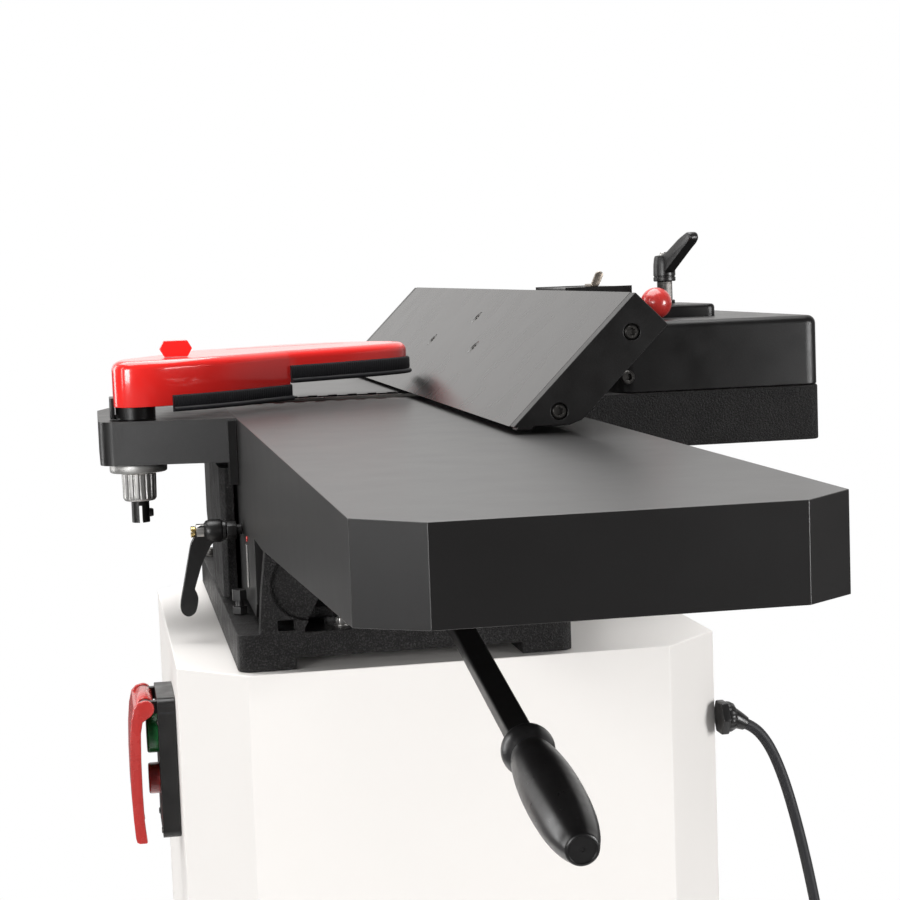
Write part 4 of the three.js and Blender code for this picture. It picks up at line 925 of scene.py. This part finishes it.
def power_cord(materials):
    line = cord_line()
    data = bpy.data.curves.new("mains_cord", "CURVE")
    data.dimensions = "3D"
    spline = data.splines.new("POLY")
    spline.points.add(len(line) - 1)
    for point, place in zip(spline.points, line):
        point.co = (*place, 1)
    data.bevel_depth = CORD_DIAMETER / 2
    data.bevel_resolution = 6
    data.use_fill_caps = True
    cable = bpy.data.objects.new("mains_cord", data)
    bpy.context.scene.collection.objects.link(cable)
    data.materials.append(materials["rubber"])
    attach(cable, "base")
    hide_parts("power_cord", "cord_coil")

    place = axis_frame(bed(342.6, 673.4, FLOOR + 0.1), (0, 1, 0), (1, 0, 0))
    center = place @ Matrix.Translation(Vector((0, -10, 0)) * MM)
    sleeve = []
    for k in range(7):
        sleeve += [(5.4, 0.2 + 2 * k), (5.4, 1.2 + 2 * k), (4.7, 1.5 + 2 * k), (4.7, 1.9 + 2 * k)]
    relief = lathe([(4.1, 0)] + sleeve + [(5.4, 14.2)], center, 36)
    loop = round_loop([(-13, -21.8), (13, -21.8), (13, -0.2), (-13, -0.2)], 7, 6)
    taper = []
    for t, h in ((0.52, 12), (0.62, 13.2), (0.78, 16), (0.93, 20), (0.985, 23), (1, 26), (1, 36.2),
                 (0.985, 37.4), (0.95, 38)):
        taper.append([place @ (Vector((x * t, -11 + (y + 11) * t, h)) * MM) for x, y in loop])
    body = mesh_object("plug_body", *merged(relief, skin(taper)), smooth=38)
    finish_piece(body, "base", materials["plastic_black"], "plug", slot="plastic_black")
    pins = [slab(round_loop([(x - 0.8, -12), (x + 0.8, -12), (x + 0.8, -5), (x - 0.8, -5)], 0.3, 2), 36, 54,
                 place, edge=0.5)
            for x in (-6.5, 6.5)]
    earth = lathe([(1, 36), (2.4, 36), (2.4, 54), (2, 55.4), (1, 56)],
                  place @ Matrix.Translation(Vector((0, -16, 0)) * MM), 28)
    prongs = mesh_object("plug_pins", *merged(*pins, earth), smooth=35)
    finish_piece(prongs, "base", materials["brass"])


def cable_gland(material):
    """Hexagon nut, ribbed dome nut and a boot that hands the cord over at a slope."""
    place = axis_frame(bed(217.15, 560.5, -227.5), (1, 0, 0), (0, 1, 0))
    hexagon = round_loop([(13.4 * math.cos(math.radians(60 * k)),
                           13.4 * math.sin(math.radians(60 * k))) for k in range(6)], 1.2)
    nut = slab(hexagon, 0, 6, place, edge=1)
    ribbed = {1, 2, 3}
    dome = lathe([(6, 5.5), (11.1, 5.8), (11.3, 7), (11, 9), (9.6, 11.4), (8, 12.2), (6, 12.4)], place, 96,
                 lambda angle, i: 1 - 0.03 * (0.5 + 0.5 * math.cos(16 * angle)) if i in ribbed else 1)
    boot_place = axis_frame(bed(226.15, 560.5, -227.5),
                            (math.cos(math.radians(28)), 0, -math.sin(math.radians(28))), (0, 1, 0))
    boot = lathe([(6, -3), (7.4, -2), (7.3, 2), (6.6, 6), (5.7, 10), (5.1, 12.6), (4.6, 13), (4.1, 12.8)],
                 boot_place, 40)
    finish_piece(mesh_object("gland_fitting", *merged(nut, dome, boot), smooth=38), "base", material,
                 "cable_gland",
                 slot="plastic_black")


# ---------------------------------------------------------------- cabinet fittings
def door_hinges(materials):
    for i, z in enumerate((-390, -680), 1):
        place = Matrix.Translation(bed(221, 943, z))
        barrel = lathe([(1, -26), (2.5, -26), (2.8, -25.6), (2.8, -0.4), (2.5, 0), (2.5, 0.4), (2.8, 0.8),
                        (2.8, 25.6), (2.5, 26),
                        (1, 26)], place, 28)
        finish_piece(mesh_object(f"door_hinge_barrel_{i}", *barrel, smooth=35), "base", materials["steel"])
        leaf = slab(round_loop([(947, z - 25), (965, z - 25), (965, z + 25), (947, z + 25)], 2.5), 0.1, 1.6,
                    axis_frame(bed(216.95, 0, 0), (1, 0, 0), (0, 1, 0)), edge=0.4)
        finish_piece(mesh_object(f"door_hinge_leaf_{i}", *leaf, smooth=35), "base", materials["steel"])


# CALLS
materials = make_materials()
make_camera()
make_studio()
power_cord(materials)
dress_cad_nodes(materials)
guard_shell(materials["guard_red"])
guard_strip("guard_strip_low_ribbed", curve_through(GUARD_NEAR, 12)[48:], 5.5, 18, "guard_strip_lower",
            materials["rubber"])
guard_strip("guard_strip_high_ribbed", curve_through(GUARD_TIP, 12), 19, 33, "guard_strip_upper",
            materials["rubber"])
guard_details(materials)
spring_knob(materials["aluminium"])
infeed_lock(materials)
slide_lock(materials)
tilt_lock_ball(materials["plastic_red"])
index_stop(materials["bright_lever"])
fence_carriage(materials["painted_black"])
lift_grip(materials)
fence_screws(materials)
small_fittings(materials)
paddle(materials)
switch_details(materials)
cable_gland(materials["plastic_black"])
door_hinges(materials)
